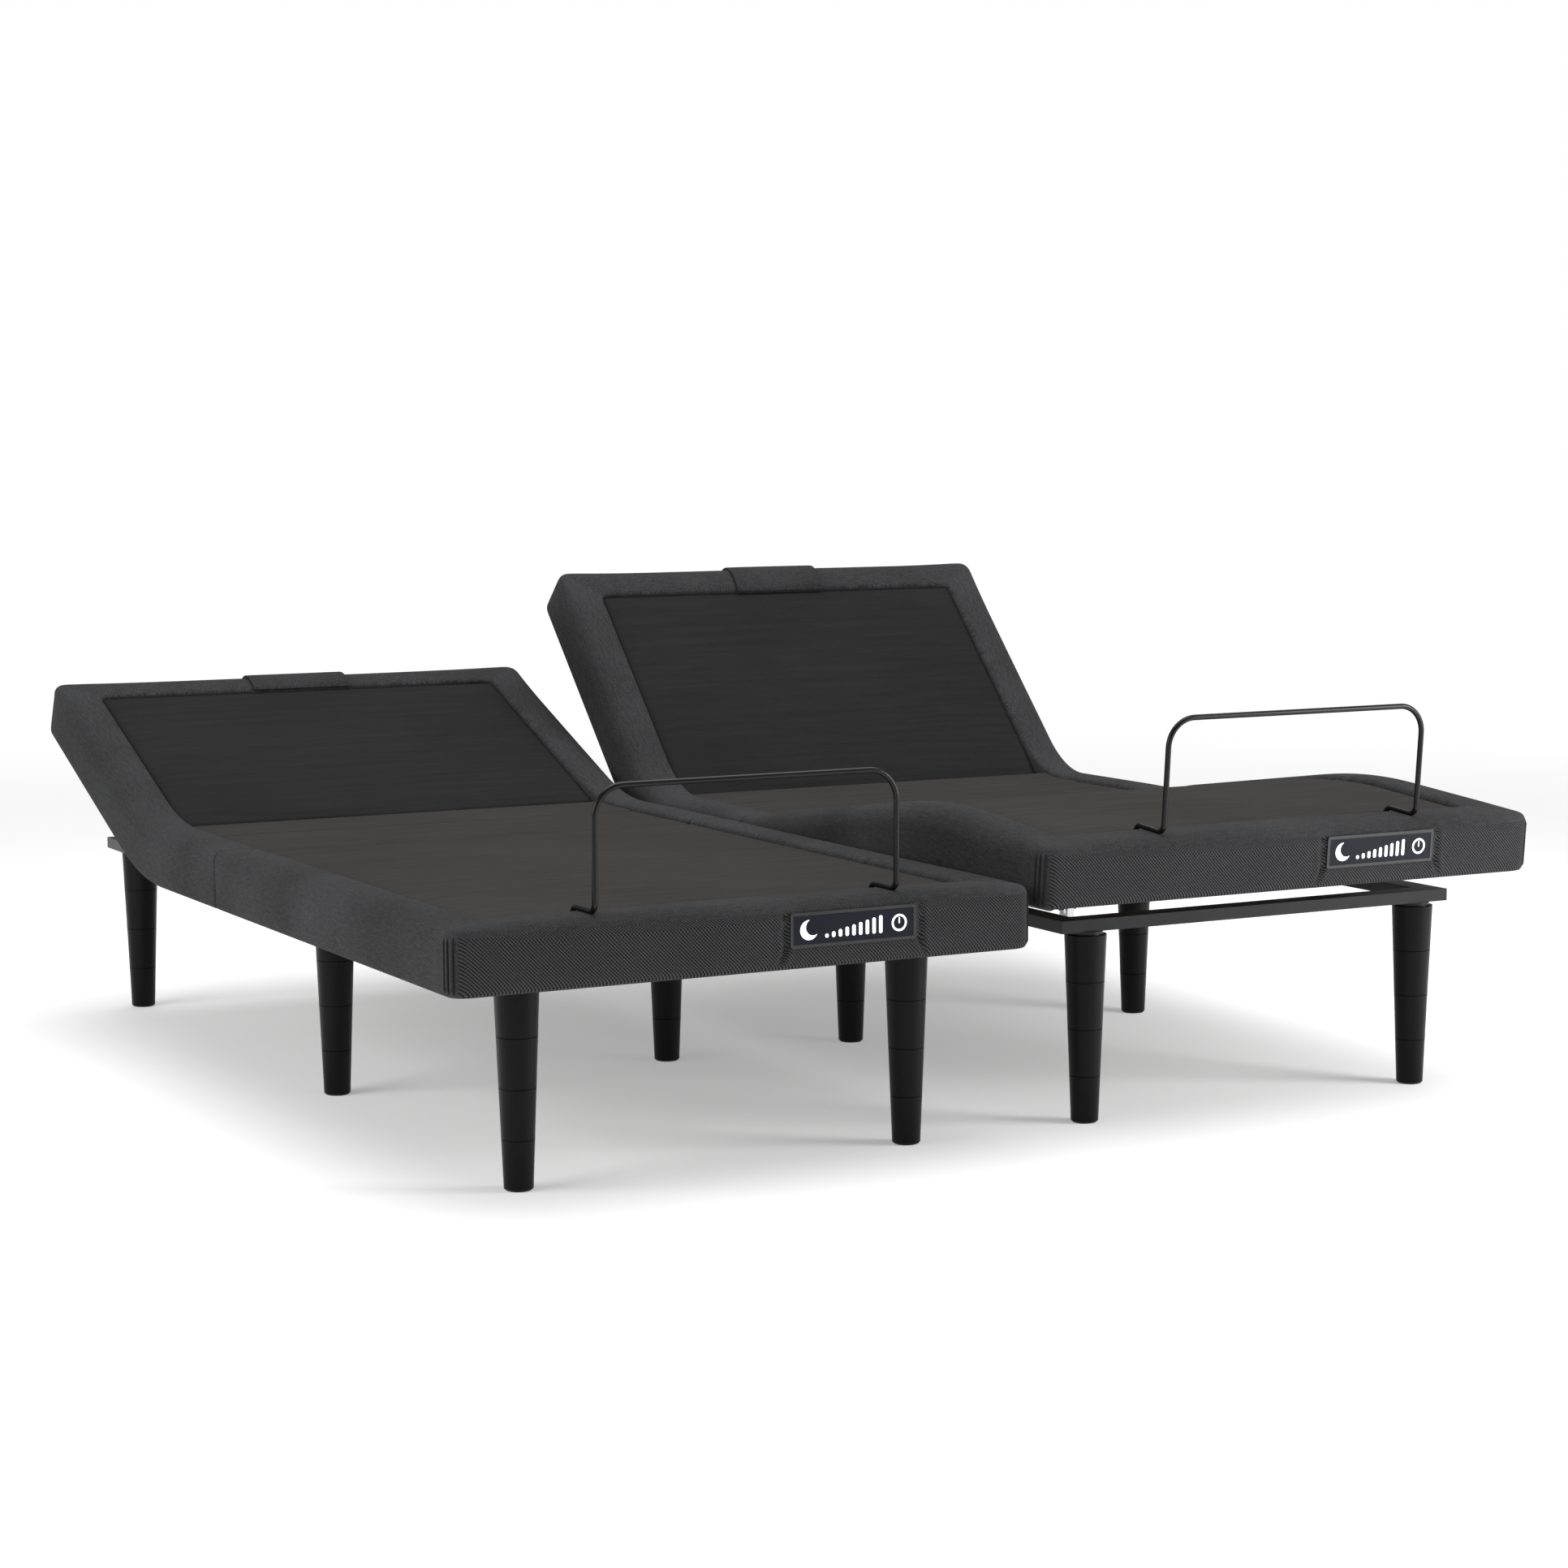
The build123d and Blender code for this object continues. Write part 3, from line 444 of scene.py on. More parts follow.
# Each fold: its start and end as (distance from the plate's edge, height), its width and its depth.
plate_folds = [
    ((0, plate_bottom + 0.004), (0.014, hem_z + 0.008), 0.0045, 0.0045),
    ((0, plate_top - 0.004), (0.010, crest_z - 0.020), 0.0045, 0.0035),
    ((0.004, plate_bottom), (0.004, plate_top), 0.005, 0.0035),
]
for way in (-1, 1):
    edge_x = plate_x + way * (plate_half + PLATE_HOLD_X)
    for (out_a, z_a), (out_b, z_b), width, depth in plate_folds:
        press_fold(foot_cover, (edge_x + way * out_a, z_a), (edge_x + way * out_b, z_b), width, depth)
print("folds pressed beside the plate")

# %% [markdown]
# ## The deck
# Thin foam under plain cloth covers the boards. Each panel is a low pad that
# is held at its rim and its underside, so its top crowns slightly. The strip
# in front of the head section is thicker, because it hides the hinge.


# %% Deck panels
UNDER_LIP = 0.002
PAD_ROUND = 0.005
PAD_FREE = 0.006


def deck_pad(name, y_range, z_range, voxel, swell):
    """A low pad between two places along a module and two heights."""
    (y0, y1), (z0, z1) = y_range, z_range
    edge = half_width - side_lip + UNDER_LIP
    piece = block(name, (-edge, y0, z0), (edge, y1, z1))
    bevel_edges(piece, lambda a, b: a[2] > z1 - SAME and b[2] > z1 - SAME, PAD_ROUND, 3)

    def held(p):
        rim = (np.abs(p[:, 0]) > edge - voxel) | (p[:, 1] < y0 + voxel) | (p[:, 1] > y1 - voxel)
        return rim | (p[:, 2] < z1 - PAD_FREE)

    return puff(piece, voxel, swell, held)


PAD_VOXEL, ROLL_VOXEL, STRIP_VOXEL = 0.010, 0.008, 0.004
PAD_SWELL, ROLL_SWELL, STRIP_SWELL = 0.003, 0.006, 0.001
pad_heights = (board_z + 0.001, deck_z + 0.002)
strip_heights = (deck_z - 0.016, deck_z - 0.010)
leg_deck = deck_pad("leg_deck", (foot_lip - UNDER_LIP, thigh_y - 0.002), pad_heights, PAD_VOXEL, PAD_SWELL)
seat_deck = deck_pad("seat_deck", (thigh_y + 0.001, 1.253), pad_heights, PAD_VOXEL, PAD_SWELL)
hinge_roll = deck_pad("hinge_roll", (1.256, 1.398), pad_heights, ROLL_VOXEL, ROLL_SWELL)
head_deck = deck_pad("head_deck", (head_y + 0.008, module_length - head_lip + UNDER_LIP), pad_heights,
                     PAD_VOXEL, PAD_SWELL)
hinge_cloth = deck_pad("hinge_cloth", (1.390, head_y + 0.024), strip_heights, STRIP_VOXEL, STRIP_SWELL)
print("deck panels made")

# %% [markdown]
# ## The head flap
# A short padded flap lies over the middle of the head border. It is made from
# the cover below it: the faces it lies on are copied off, given the thickness
# of its foam, and rounded, so it fits the crest exactly.


# %% Take the flap off the cover
flap_half = (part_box("left_head_flap")[1].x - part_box("left_head_flap")[0].x) / 2
flap_from = module_length - head_lip + 0.001
flap_low_z = crest_z - 0.040
FLAP_FOAM = 0.006
FLAP_ROUND = 0.002
OUTWARD = 0.3
SHARP = math.radians(50)


def faces_off(piece, name, wanted):
    """Copy the faces whose middle passes the test into a piece of their own."""
    twin = copy_of(piece, name)
    bpy.ops.object.mode_set(mode="EDIT")
    bpy.ops.mesh.select_mode(type="FACE")
    bpy.ops.mesh.select_all(action="DESELECT")
    bpy.ops.object.mode_set(mode="OBJECT")
    for face in twin.data.polygons:
        face.select = not wanted(face.center, face.normal)
    bpy.ops.object.mode_set(mode="EDIT")
    bpy.ops.mesh.delete(type="FACE")
    bpy.ops.object.mode_set(mode="OBJECT")
    return twin


def under_flap(middle, normal):
    over_crest = abs(middle.x) < flap_half and middle.y > flap_from and middle.z > flap_low_z
    return over_crest and (normal.z > OUTWARD or normal.y > OUTWARD)


head_flap = faces_off(head_cover, "head_flap", under_flap)
apply(head_flap, "SMOOTH", factor=0.5, iterations=4)
apply(head_flap, "SOLIDIFY", thickness=FLAP_FOAM, offset=1.0)
apply(head_flap, "BEVEL", width=FLAP_ROUND, segments=2, limit_method="ANGLE", angle_limit=SHARP)
bpy.ops.object.shade_smooth()
print("flap", head_flap.dimensions)

# %% [markdown]
# ## Welts at the foot corners
# Three stitched welts stand on each foot corner. One is modelled as a slim
# rod with round ends, drawn in where it meets the crest and the hem, and then
# copied round the corner.

# %% Corner welts
welt_r = 0.0016
welt_low, welt_high = hem_z + 0.006, top_z - 0.011
TOP_TAPER, FOOT_TAPER = 0.008, 0.006
END_BAND = 0.001
DRAWN_IN = 0.003
PROUD = 0.0002
WELT_ANGLES = (52, 74, 96)
WELT_ROUND = 0.0006


def join_all(pieces, name):
    """Join loose pieces into one object."""
    bpy.ops.object.select_all(action="DESELECT")
    for piece in pieces:
        piece.select_set(True)
    bpy.context.view_layer.objects.active = pieces[0]
    bpy.ops.object.join()
    joined = bpy.context.object
    joined.name = joined.data.name = name
    return joined


def one_welt(x, y, inward):
    """An upright cord whose two ends are drawn in under the cloth."""
    bpy.ops.object.select_all(action="DESELECT")
    tall = welt_high - welt_low
    bpy.ops.mesh.primitive_cylinder_add(vertices=10, radius=welt_r, depth=tall,
                                        location=(x, y, (welt_low + welt_high) / 2))
    welt = bpy.context.object
    bpy.ops.object.transform_apply(location=True, rotation=True, scale=True)
    bpy.ops.object.mode_set(mode="EDIT")
    bpy.ops.mesh.select_all(action="SELECT")
    bpy.ops.mesh.bisect(plane_co=(x, y, welt_high - TOP_TAPER), plane_no=(0, 0, 1))
    bpy.ops.mesh.select_all(action="SELECT")
    bpy.ops.mesh.bisect(plane_co=(x, y, welt_low + FOOT_TAPER), plane_no=(0, 0, 1))
    bpy.ops.object.mode_set(mode="OBJECT")
    place = points(welt)
    ends = (place[:, 2] > welt_high - END_BAND) | (place[:, 2] < welt_low + END_BAND)
    place[ends] += np.array([inward[0], inward[1], 0]) * DRAWN_IN
    move_points(welt, place)
    return welt


def welt_set(name):
    welts = []
    for way in (-1, 1):
        for angle in WELT_ANGLES:
            a = math.radians(angle)
            out = Vector((way * math.sin(a), -math.cos(a)))
            reach = CORNER_ROUND + PROUD
            x = way * (outer - CORNER_ROUND) + out.x * reach
            welts.append(one_welt(x, tuck + CORNER_ROUND + out.y * reach, -out))
    joined = join_all(welts, name)
    apply(joined, "BEVEL", width=WELT_ROUND, segments=2, limit_method="ANGLE", angle_limit=SHARP)
    bpy.ops.object.shade_smooth()
    return joined


corner_welts = welt_set("corner_welts")
print("welts", len(corner_welts.data.vertices))

# %% [markdown]
# ## The lit plate
# A frosted lens sits in the case at the foot. Behind it lights draw simple
# signs: a moon for sleep, a row of level bars and a ring. The signs are thin
# slips that stand a hair in front of the lens.

# %% Lens and signs
lens_low, lens_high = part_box("left_light_lens")
lens_half = (lens_high.x - lens_low.x) / 2
lens_tall = (lens_high.z - lens_low.z) / 2
lens_front = lens_low.y - foot_face
LENS_THICK, LENS_ROUND = 0.0011, 0.0003
lens = block("plate_lens", (plate_x - lens_half, lens_front, plate_z - lens_tall),
             (plate_x + lens_half, lens_front + LENS_THICK, plate_z + lens_tall))
bevel_edges(lens, lambda a, b: level_with(a, b, 1, lens_front), LENS_ROUND, 2)
sign_front, sign_back = lens_front - 0.0003, lens_front + 0.0004
sign_thick = sign_back - sign_front
CUTTER_DEPTH = 0.01
SLIP_ROUND = 0.45


def disc(x, z, radius, depth):
    bpy.ops.object.select_all(action="DESELECT")
    bpy.ops.mesh.primitive_cylinder_add(vertices=48, radius=radius, depth=depth,
                                        location=(x, (sign_front + sign_back) / 2, z),
                                        rotation=(math.radians(90), 0, 0))
    bpy.ops.object.transform_apply(location=True, rotation=True, scale=True)
    return bpy.context.object


def slip(x, z, wide, tall):
    """A thin upright slip with round corners."""
    piece = block("slip", (x - wide / 2, sign_front, z - tall / 2), (x + wide / 2, sign_back, z + tall / 2))
    radius = min(wide, tall) * SLIP_ROUND
    return bevel_edges(piece, lambda a, b: abs(a[1] - b[1]) > sign_thick / 2, radius, 4)


moon = disc(plate_x - 0.076, plate_z, 0.0150, sign_thick)
cut_away(moon, disc(plate_x - 0.069, plate_z + 0.004, 0.0125, CUTTER_DEPTH))
ring_x = plate_x + 0.078
ring = disc(ring_x, plate_z, 0.0130, sign_thick)
cut_away(ring, disc(ring_x, plate_z, 0.0098, CUTTER_DEPTH))
ring_mark = slip(ring_x, plate_z + 0.0035, 0.0022, 0.009)
BARS, BAR_WIDE, BAR_PITCH = 9, 0.0058, 0.0115
first_bar_x, bar_foot_z = plate_x - 0.046, plate_z - 0.0135
SHORTEST_BAR, BAR_RISE = 0.006, 0.0026
bars = []
for step in range(BARS):
    tall = SHORTEST_BAR + BAR_RISE * step
    bars.append(slip(first_bar_x + BAR_PITCH * step, bar_foot_z + tall / 2, BAR_WIDE, tall))
signs = join_all([moon, ring, ring_mark, *bars], "plate_signs")
print("lens", lens.dimensions, "signs", len(signs.data.vertices))

# %% [markdown]
# ## Thread directions on the cloth
# A weave has to follow the cloth round a corner, so every cover gets a map in
# metres while it is still flat. On the border one direction runs along the
# border, and the other climbs the side and goes over the crest. On a deck
# panel the two directions are simply across and along.


# %% Unwrap by the thread
def thread_map(piece, end=None, lip=None):
    """Give a flat piece a map in metres; end and lip describe a border's closed end."""
    piece.data.uv_layers.new(name="thread")
    corners = np.zeros(len(piece.data.loops), int)
    piece.data.loops.foreach_get("vertex_index", corners)
    x, y, z = points(piece)[corners].T
    uv = np.stack([x, y], 1)
    if end is not None:
        starts = np.zeros(len(piece.data.polygons), int)
        piece.data.polygons.foreach_get("loop_start", starts)
        totals = np.zeros(len(starts), int)
        piece.data.polygons.foreach_get("loop_total", totals)
        from_side, from_end = half_width - np.abs(x), np.abs(y - end)
        on_end = np.repeat((from_end * side_lip < from_side * lip)[starts], totals)
        uv = np.stack([np.where(on_end, x, y), z + np.where(on_end, from_end, from_side)], 1)
    piece.data.uv_layers["thread"].data.foreach_set("uv", uv.astype(np.float32).ravel())


thread_map(foot_cover, 0.0, foot_lip)
thread_map(head_cover, module_length, head_lip)
thread_map(head_flap, module_length, head_lip)
for piece in (leg_deck, seat_deck, hinge_roll, head_deck, hinge_cloth):
    thread_map(piece)
print("thread maps on", foot_cover.name, "and the rest")

# %% [markdown]
# ## Building blocks for the finishes
# A few effects turn up on many finishes: the threads of a cloth, the slow
# changes of tone over a large panel, and the fine grain of paint. Each one is
# a node group with its own sockets, built once here.


# %% Node helpers
def new_group(name, inputs, outputs):
    group = bpy.data.node_groups.new(name, "ShaderNodeTree")
    for label, kind, value in inputs:
        socket = group.interface.new_socket(label, in_out="INPUT", socket_type="NodeSocket" + kind)
        if value is not None:
            socket.default_value = value
    for label in outputs:
        group.interface.new_socket(label, in_out="OUTPUT", socket_type="NodeSocketFloat")
    return group, group.nodes.new("NodeGroupInput"), group.nodes.new("NodeGroupOutput")


def math_node(tree, kind, *values):
    """A Math node whose inputs are numbers or other sockets."""
    node = tree.nodes.new("ShaderNodeMath")
    node.operation = kind
    for place, value in enumerate(values):
        if isinstance(value, (int, float)):
            node.inputs[place].default_value = value
        else:
            tree.links.new(value, node.inputs[place])
    return node.outputs[0]


def mix_values(tree, first, first_share, second, second_share):
    """Two values added together, each in its share."""
    return math_node(tree, "MULTIPLY_ADD", first, first_share,
                     math_node(tree, "MULTIPLY", second, second_share))


def noise(tree, vector, scale, detail=3.0, rough=0.5):
    node = tree.nodes.new("ShaderNodeTexNoise")
    node.inputs["Scale"].default_value = scale
    node.inputs["Detail"].default_value = detail
    node.inputs["Roughness"].default_value = rough
    tree.links.new(vector, node.inputs["Vector"])
    return node.outputs["Fac"]


def stretched(tree, vector, x, y, z):
    node = tree.nodes.new("ShaderNodeMapping")
    node.inputs["Scale"].default_value = (x, y, z)
    tree.links.new(vector, node.inputs["Vector"])
    return node.outputs["Vector"]


# %% Threads of a knit
def knit_group():
    """Rows of small loops with uneven, mottled yarn."""
    inputs = [("Vector", "Vector", None), ("Pitch", "Float", 0.0016)]
    group, inside, out = new_group("knit threads", inputs, ("Tone", "Height"))
    split = group.nodes.new("ShaderNodeSeparateXYZ")
    group.links.new(inside.outputs["Vector"], split.inputs[0])
    turns = math_node(group, "DIVIDE", 2 * math.pi, inside.outputs["Pitch"])
    across = math_node(group, "SINE", math_node(group, "MULTIPLY", split.outputs[0], turns))
    along = math_node(group, "SINE", math_node(group, "MULTIPLY", split.outputs[1], turns))
    loops = math_node(group, "MULTIPLY", across, along)
    heather = noise(group, stretched(group, inside.outputs["Vector"], 1.0, 1.5, 1.0), 380, 4, 0.7)
    slub = noise(group, stretched(group, inside.outputs["Vector"], 0.8, 2.5, 1.0), 70, 3, 0.6)
    mixed = mix_values(group, heather, 0.78, slub, 0.22)
    group.links.new(math_node(group, "MULTIPLY_ADD", loops, 0.06, mixed), out.inputs["Tone"])
    group.links.new(math_node(group, "MULTIPLY_ADD", loops, 0.35, mixed), out.inputs["Height"])
    return group


# %% Diagonal spacer mesh
def mesh_group():
    """Slanting ribs with a small hole wherever two rib directions cross."""
    inputs = [("Vector", "Vector", None), ("Pitch", "Float", 0.0042)]
    group, inside, out = new_group("slanting mesh", inputs, ("Hole", "Height"))
    split = group.nodes.new("ShaderNodeSeparateXYZ")
    group.links.new(inside.outputs["Vector"], split.inputs[0])
    turns = math_node(group, "DIVIDE", 2 * math.pi, inside.outputs["Pitch"])
    u = math_node(group, "MULTIPLY", split.outputs[0], turns)
    v = math_node(group, "MULTIPLY", split.outputs[1], turns)
    rising = math_node(group, "SINE", math_node(group, "ADD", u, v))
    falling = math_node(group, "SINE", math_node(group, "SUBTRACT", u, v))
    ribs = math_node(group, "MULTIPLY_ADD", falling, 0.55, rising)
    level = math_node(group, "MULTIPLY_ADD", ribs, 0.32, 0.5)
    node = group.nodes.new("ShaderNodeMapRange")
    node.inputs["From Min"].default_value = 0.22
    node.inputs["From Max"].default_value = 0.55
    group.links.new(level, node.inputs["Value"])
    group.links.new(node.outputs[0], out.inputs["Hole"])
    group.links.new(level, out.inputs["Height"])
    return group


# %% Slow changes of tone, and paint grain
def mottle_group():
    """Broad, soft patches where cloth lies a little differently or has been handled."""
    inputs = [("Vector", "Vector", None), ("Scale", "Float", 3.0)]
    group, inside, out = new_group("broad patches", inputs, ("Patch",))
    node = group.nodes.new("ShaderNodeTexNoise")
    node.inputs["Detail"].default_value = 3
    group.links.new(inside.outputs["Vector"], node.inputs["Vector"])
    group.links.new(inside.outputs["Scale"], node.inputs["Scale"])
    group.links.new(node.outputs["Fac"], out.inputs["Patch"])
    return group


def grain_group():
    """Fine orange peel for the height, and faint rubbed marks for the roughness."""
    inputs = [("Vector", "Vector", None), ("Scale", "Float", 900.0)]
    group, inside, out = new_group("paint grain", inputs, ("Rub", "Height"))
    node = group.nodes.new("ShaderNodeTexNoise")
    node.inputs["Detail"].default_value = 2
    group.links.new(inside.outputs["Vector"], node.inputs["Vector"])
    group.links.new(inside.outputs["Scale"], node.inputs["Scale"])
    rub = noise(group, stretched(group, inside.outputs["Vector"], 1.0, 1.0, 0.25), 22, 5, 0.7)
    group.links.new(rub, out.inputs["Rub"])
    group.links.new(node.outputs["Fac"], out.inputs["Height"])
    return group


KNIT, MESH, MOTTLE, GRAIN = knit_group(), mesh_group(), mottle_group(), grain_group()
print("node groups", KNIT.name, MESH.name, MOTTLE.name, GRAIN.name)


# %% Parts every finish shares
def place_group(tree, group, vector, **values):
    node = tree.nodes.new("ShaderNodeGroup")
    node.node_tree = group
    tree.links.new(vector, node.inputs["Vector"])
    for key, value in values.items():
        node.inputs[key].default_value = value
    return node.outputs


def start_finish(name, thread=False, **sockets):
    """A material with its Principled BSDF, and the coordinates its pattern reads."""
    material = bpy.data.materials.new(name)
    material.use_nodes = True
    tree = material.node_tree
    shader = tree.nodes["Principled BSDF"]
    for key, value in sockets.items():
        shader.inputs[key.replace("_", " ")].default_value = value
    if thread:
        source = tree.nodes.new("ShaderNodeUVMap")
        source.uv_map = "thread"
        return material, tree, shader, source.outputs["UV"]
    source = tree.nodes.new("ShaderNodeTexCoord")
    return material, tree, shader, source.outputs["Object"]


def tone(tree, shader, value, dark, light, low=0.3, high=0.7):
    """Colour between two tones, led by a value, into Base Color."""
    ramp = tree.nodes.new("ShaderNodeValToRGB")
    ramp.color_ramp.elements[0].position = low
    ramp.color_ramp.elements[1].position = high
    ramp.color_ramp.elements[0].color = (*dark, 1)
    ramp.color_ramp.elements[1].color = (*light, 1)
    tree.links.new(value, ramp.inputs[0])
    tree.links.new(ramp.outputs[0], shader.inputs["Base Color"])


def bump(tree, shader, height, strength, distance):
    node = tree.nodes.new("ShaderNodeBump")
    node.inputs["Strength"].default_value = strength
    node.inputs["Distance"].default_value = distance
    tree.links.new(height, node.inputs["Height"])
    tree.links.new(node.outputs[0], shader.inputs["Normal"])


def roughness(tree, shader, value, low, high):
    node = tree.nodes.new("ShaderNodeMapRange")
    node.inputs["To Min"].default_value = low
    node.inputs["To Max"].default_value = high
    tree.links.new(value, node.inputs["Value"])
    tree.links.new(node.outputs[0], shader.inputs["Roughness"])


# %% [markdown]
# ## Cloths
# The border is a mottled charcoal knit. The foot panel is a darker spacer
# mesh. The deck is a plain cloth with faint streaks across it, browner under
# the seat and legs than on the head panel.

# %% Border knit
def knit_finish(name, dark, light):
    material, tree, shader, thread = start_finish(name, thread=True, Specular_IOR_Level=0.07,
                                                  Sheen_Weight=0.015, Sheen_Roughness=0.5)
    knit = place_group(tree, KNIT, thread, Pitch=0.0017)
    patch = place_group(tree, MOTTLE, thread, Scale=4.0)["Patch"]
    value = mix_values(tree, patch, 0.18, knit["Tone"], 0.82)
    tone(tree, shader, value, dark, light, 0.42, 0.60)
    roughness(tree, shader, knit["Tone"], 0.82, 0.98)
    bump(tree, shader, knit["Height"], 0.45, 0.0005)
    return material


border_knit = knit_finish("charcoal knit", (0.0200, 0.0202, 0.0210), (0.0640, 0.0645, 0.0672))
flap_knit = knit_finish("charcoal knit flap", (0.0180, 0.0182, 0.0189), (0.0540, 0.0545, 0.0568))


# %% Foot mesh
def mesh_finish():
    material, tree, shader, thread = start_finish("dark spacer mesh", thread=True, Specular_IOR_Level=0.10)
    mesh = place_group(tree, MESH, thread, Pitch=0.0056)
    patch = place_group(tree, MOTTLE, thread, Scale=3.0)["Patch"]
    value = mix_values(tree, patch, 0.30, mesh["Hole"], 0.75)
    tone(tree, shader, value, (0.0040, 0.0040, 0.0043), (0.062, 0.062, 0.065), 0.18, 0.92)
    roughness(tree, shader, mesh["Height"], 0.62, 0.85)
    bump(tree, shader, mesh["Height"], 1.0, 0.0014)
    return material


foot_mesh = mesh_finish()


# %% Deck cloths
def deck_finish(name, dark, light):
    material, tree, shader, thread = start_finish(name, thread=True, Specular_IOR_Level=0.06)
    streak = noise(tree, stretched(tree, thread, 1.0, 14.0, 1.0), 5.0, 6, 0.6)
    weave = place_group(tree, KNIT, thread, Pitch=0.0013)
    patch = place_group(tree, MOTTLE, thread, Scale=2.2)["Patch"]
    value = mix_values(tree, streak, 0.30, patch, 0.25)
    value = math_node(tree, "MULTIPLY_ADD", weave["Tone"], 0.45, value)
    tone(tree, shader, value, dark, light, 0.38, 0.62)
    roughness(tree, shader, weave["Tone"], 0.70, 0.90)
    bump(tree, shader, weave["Height"], 0.35, 0.0004)
    return material


deck_brown = deck_finish("warm deck cloth", (0.0310, 0.0276, 0.0274), (0.0520, 0.0468, 0.0466))
deck_dark = deck_finish("head deck cloth", (0.0135, 0.0135, 0.0136), (0.0240, 0.0240, 0.0242))
# The hinge cloth is a real strip, but its near-black tone is painted shade of the recessed gap in front of
# the head panel.
gap_shade_cloth = deck_finish("hinge cloth", (0.008, 0.008, 0.008), (0.014, 0.014, 0.014))
print("cloths", border_knit.name, foot_mesh.name, deck_brown.name, deck_dark.name)


# %% [markdown]
# ## Paint, plastic, steel and board
# The legs are satin, the rails and bars glossy. All of them carry a fine
# grain and faint rubbed patches, so a highlight is never perfectly clean.

# %% Hard finishes
def painted(name, dark, light, rough, coat=0.0, grain=900.0, depth=0.00012, metallic=0.0, specular=0.5):
    material, tree, shader, spot = start_finish(name, Coat_Weight=coat, Coat_Roughness=0.12,
                                                Metallic=metallic, Specular_IOR_Level=specular)
    marks = place_group(tree, GRAIN, spot, Scale=grain)
    tone(tree, shader, marks["Rub"], dark, light, 0.35, 0.75)
    roughness(tree, shader, marks["Rub"], *rough)
    bump(tree, shader, marks["Height"], 0.25, depth)
    return material


leg_black = painted("satin leg", (0.0018, 0.0018, 0.0019), (0.0036, 0.0035, 0.0034), (0.30, 0.44),
                    grain=500.0, specular=0.14)
frame_black = painted("gloss rail paint", (0.004, 0.004, 0.0042), (0.008, 0.008, 0.0082), (0.28, 0.45),
                      coat=0.1, specular=0.25)
bar_black = painted("bar powder coat", (0.003, 0.003, 0.0032), (0.006, 0.006, 0.0062), (0.26, 0.38),
                    coat=0.08, specular=0.25)
motor_grey = painted("motor plastic", (0.014, 0.014, 0.015), (0.026, 0.026, 0.027), (0.45, 0.62),
                     grain=350.0)
case_black = painted("plate case", (0.004, 0.004, 0.0045), (0.008, 0.008, 0.009), (0.18, 0.30), coat=0.2)
zinc_steel = painted("zinc plated steel", (0.42, 0.42, 0.43), (0.62, 0.62, 0.63), (0.28, 0.45),
                     metallic=1.0)
welt_black = painted("welt cord", (0.010, 0.010, 0.011), (0.022, 0.022, 0.023), (0.75, 0.9),
                     grain=1500.0, specular=0.2)


def board_finish():
    """Dark stained plywood: long streaks of grain across the module."""
    material, tree, shader, spot = start_finish("stained plywood", Specular_IOR_Level=0.3)
    rings = noise(tree, stretched(tree, spot, 1.0, 22.0, 22.0), 3.0, 6, 0.62)
    tone(tree, shader, rings, (0.030, 0.021, 0.014), (0.085, 0.060, 0.040), 0.35, 0.68)
    roughness(tree, shader, rings, 0.55, 0.8)
    bump(tree, shader, rings, 0.3, 0.0004)
    return material


ply_board = board_finish()


# %% Lens and light
def glow(tree, shader, spot, scale, dim, bright):
    """Uneven light of two colours, into Emission Color."""
    haze = noise(tree, spot, scale, 2, 0.5)
    ramp = tree.nodes.new("ShaderNodeValToRGB")
    ramp.color_ramp.elements[0].color = (*dim, 1)
    ramp.color_ramp.elements[1].color = (*bright, 1)
    tree.links.new(haze, ramp.inputs[0])
    tree.links.new(ramp.outputs[0], shader.inputs["Emission Color"])


def lens_finish():
    """Smoked lens with a faint, uneven cool glow."""
    material, tree, shader, spot = start_finish("smoked lens", Base_Color=(0.003, 0.0035, 0.006, 1),
                                                Roughness=0.25, Coat_Weight=0.08, Coat_Roughness=0.1,
                                                Specular_IOR_Level=0.12, Emission_Strength=0.018)
    glow(tree, shader, spot, 14.0, (0.10, 0.12, 0.30), (0.55, 0.62, 1.0))
    return material


def light_finish():
    material, tree, shader, spot = start_finish("lit sign", Base_Color=(0.8, 0.85, 0.9, 1), Roughness=0.4,
                                                Emission_Strength=1.1)
    glow(tree, shader, spot, 60.0, (0.72, 0.80, 1.0), (0.95, 0.97, 1.0))
    return material


smoked_lens, lit_sign = lens_finish(), light_finish()
print("finishes", len(bpy.data.materials))

# %% [markdown]
# ## Finishes on the covers
# The foot cover carries two cloths: mesh on the foot face between the corner
# welts, and knit everywhere else. Each face is given its cloth by its place.


# %% Give the covers their cloth
def dress(piece, *materials):
    piece.data.materials.clear()
    for material in materials:
        piece.data.materials.append(material)
    return piece


MESH_FROM_CORNER, MESH_BELOW_TOP, MESH_DEPTH = 0.012, 0.013, 0.020
FACING_SIDE = 0.2


def is_foot_face(face):
    middle = face.center
    between_welts = abs(middle.x) < outer - MESH_FROM_CORNER
    below_crest = middle.z < top_z - MESH_BELOW_TOP
    return middle.y < MESH_DEPTH and below_crest and between_welts and face.normal.y < FACING_SIDE


dress(foot_cover, border_knit, foot_mesh)
for face in foot_cover.data.polygons:
    face.material_index = int(is_foot_face(face))
dress(head_cover, border_knit)
dress(head_flap, flap_knit)
for piece in (leg_deck, seat_deck, hinge_roll):
    dress(piece, deck_brown)
dress(head_deck, deck_dark)
dress(hinge_cloth, gap_shade_cloth)
dress(corner_welts, welt_black)
dress(lens, smoked_lens)
dress(signs, lit_sign)
print("mesh faces", sum(f.material_index for f in foot_cover.data.polygons))

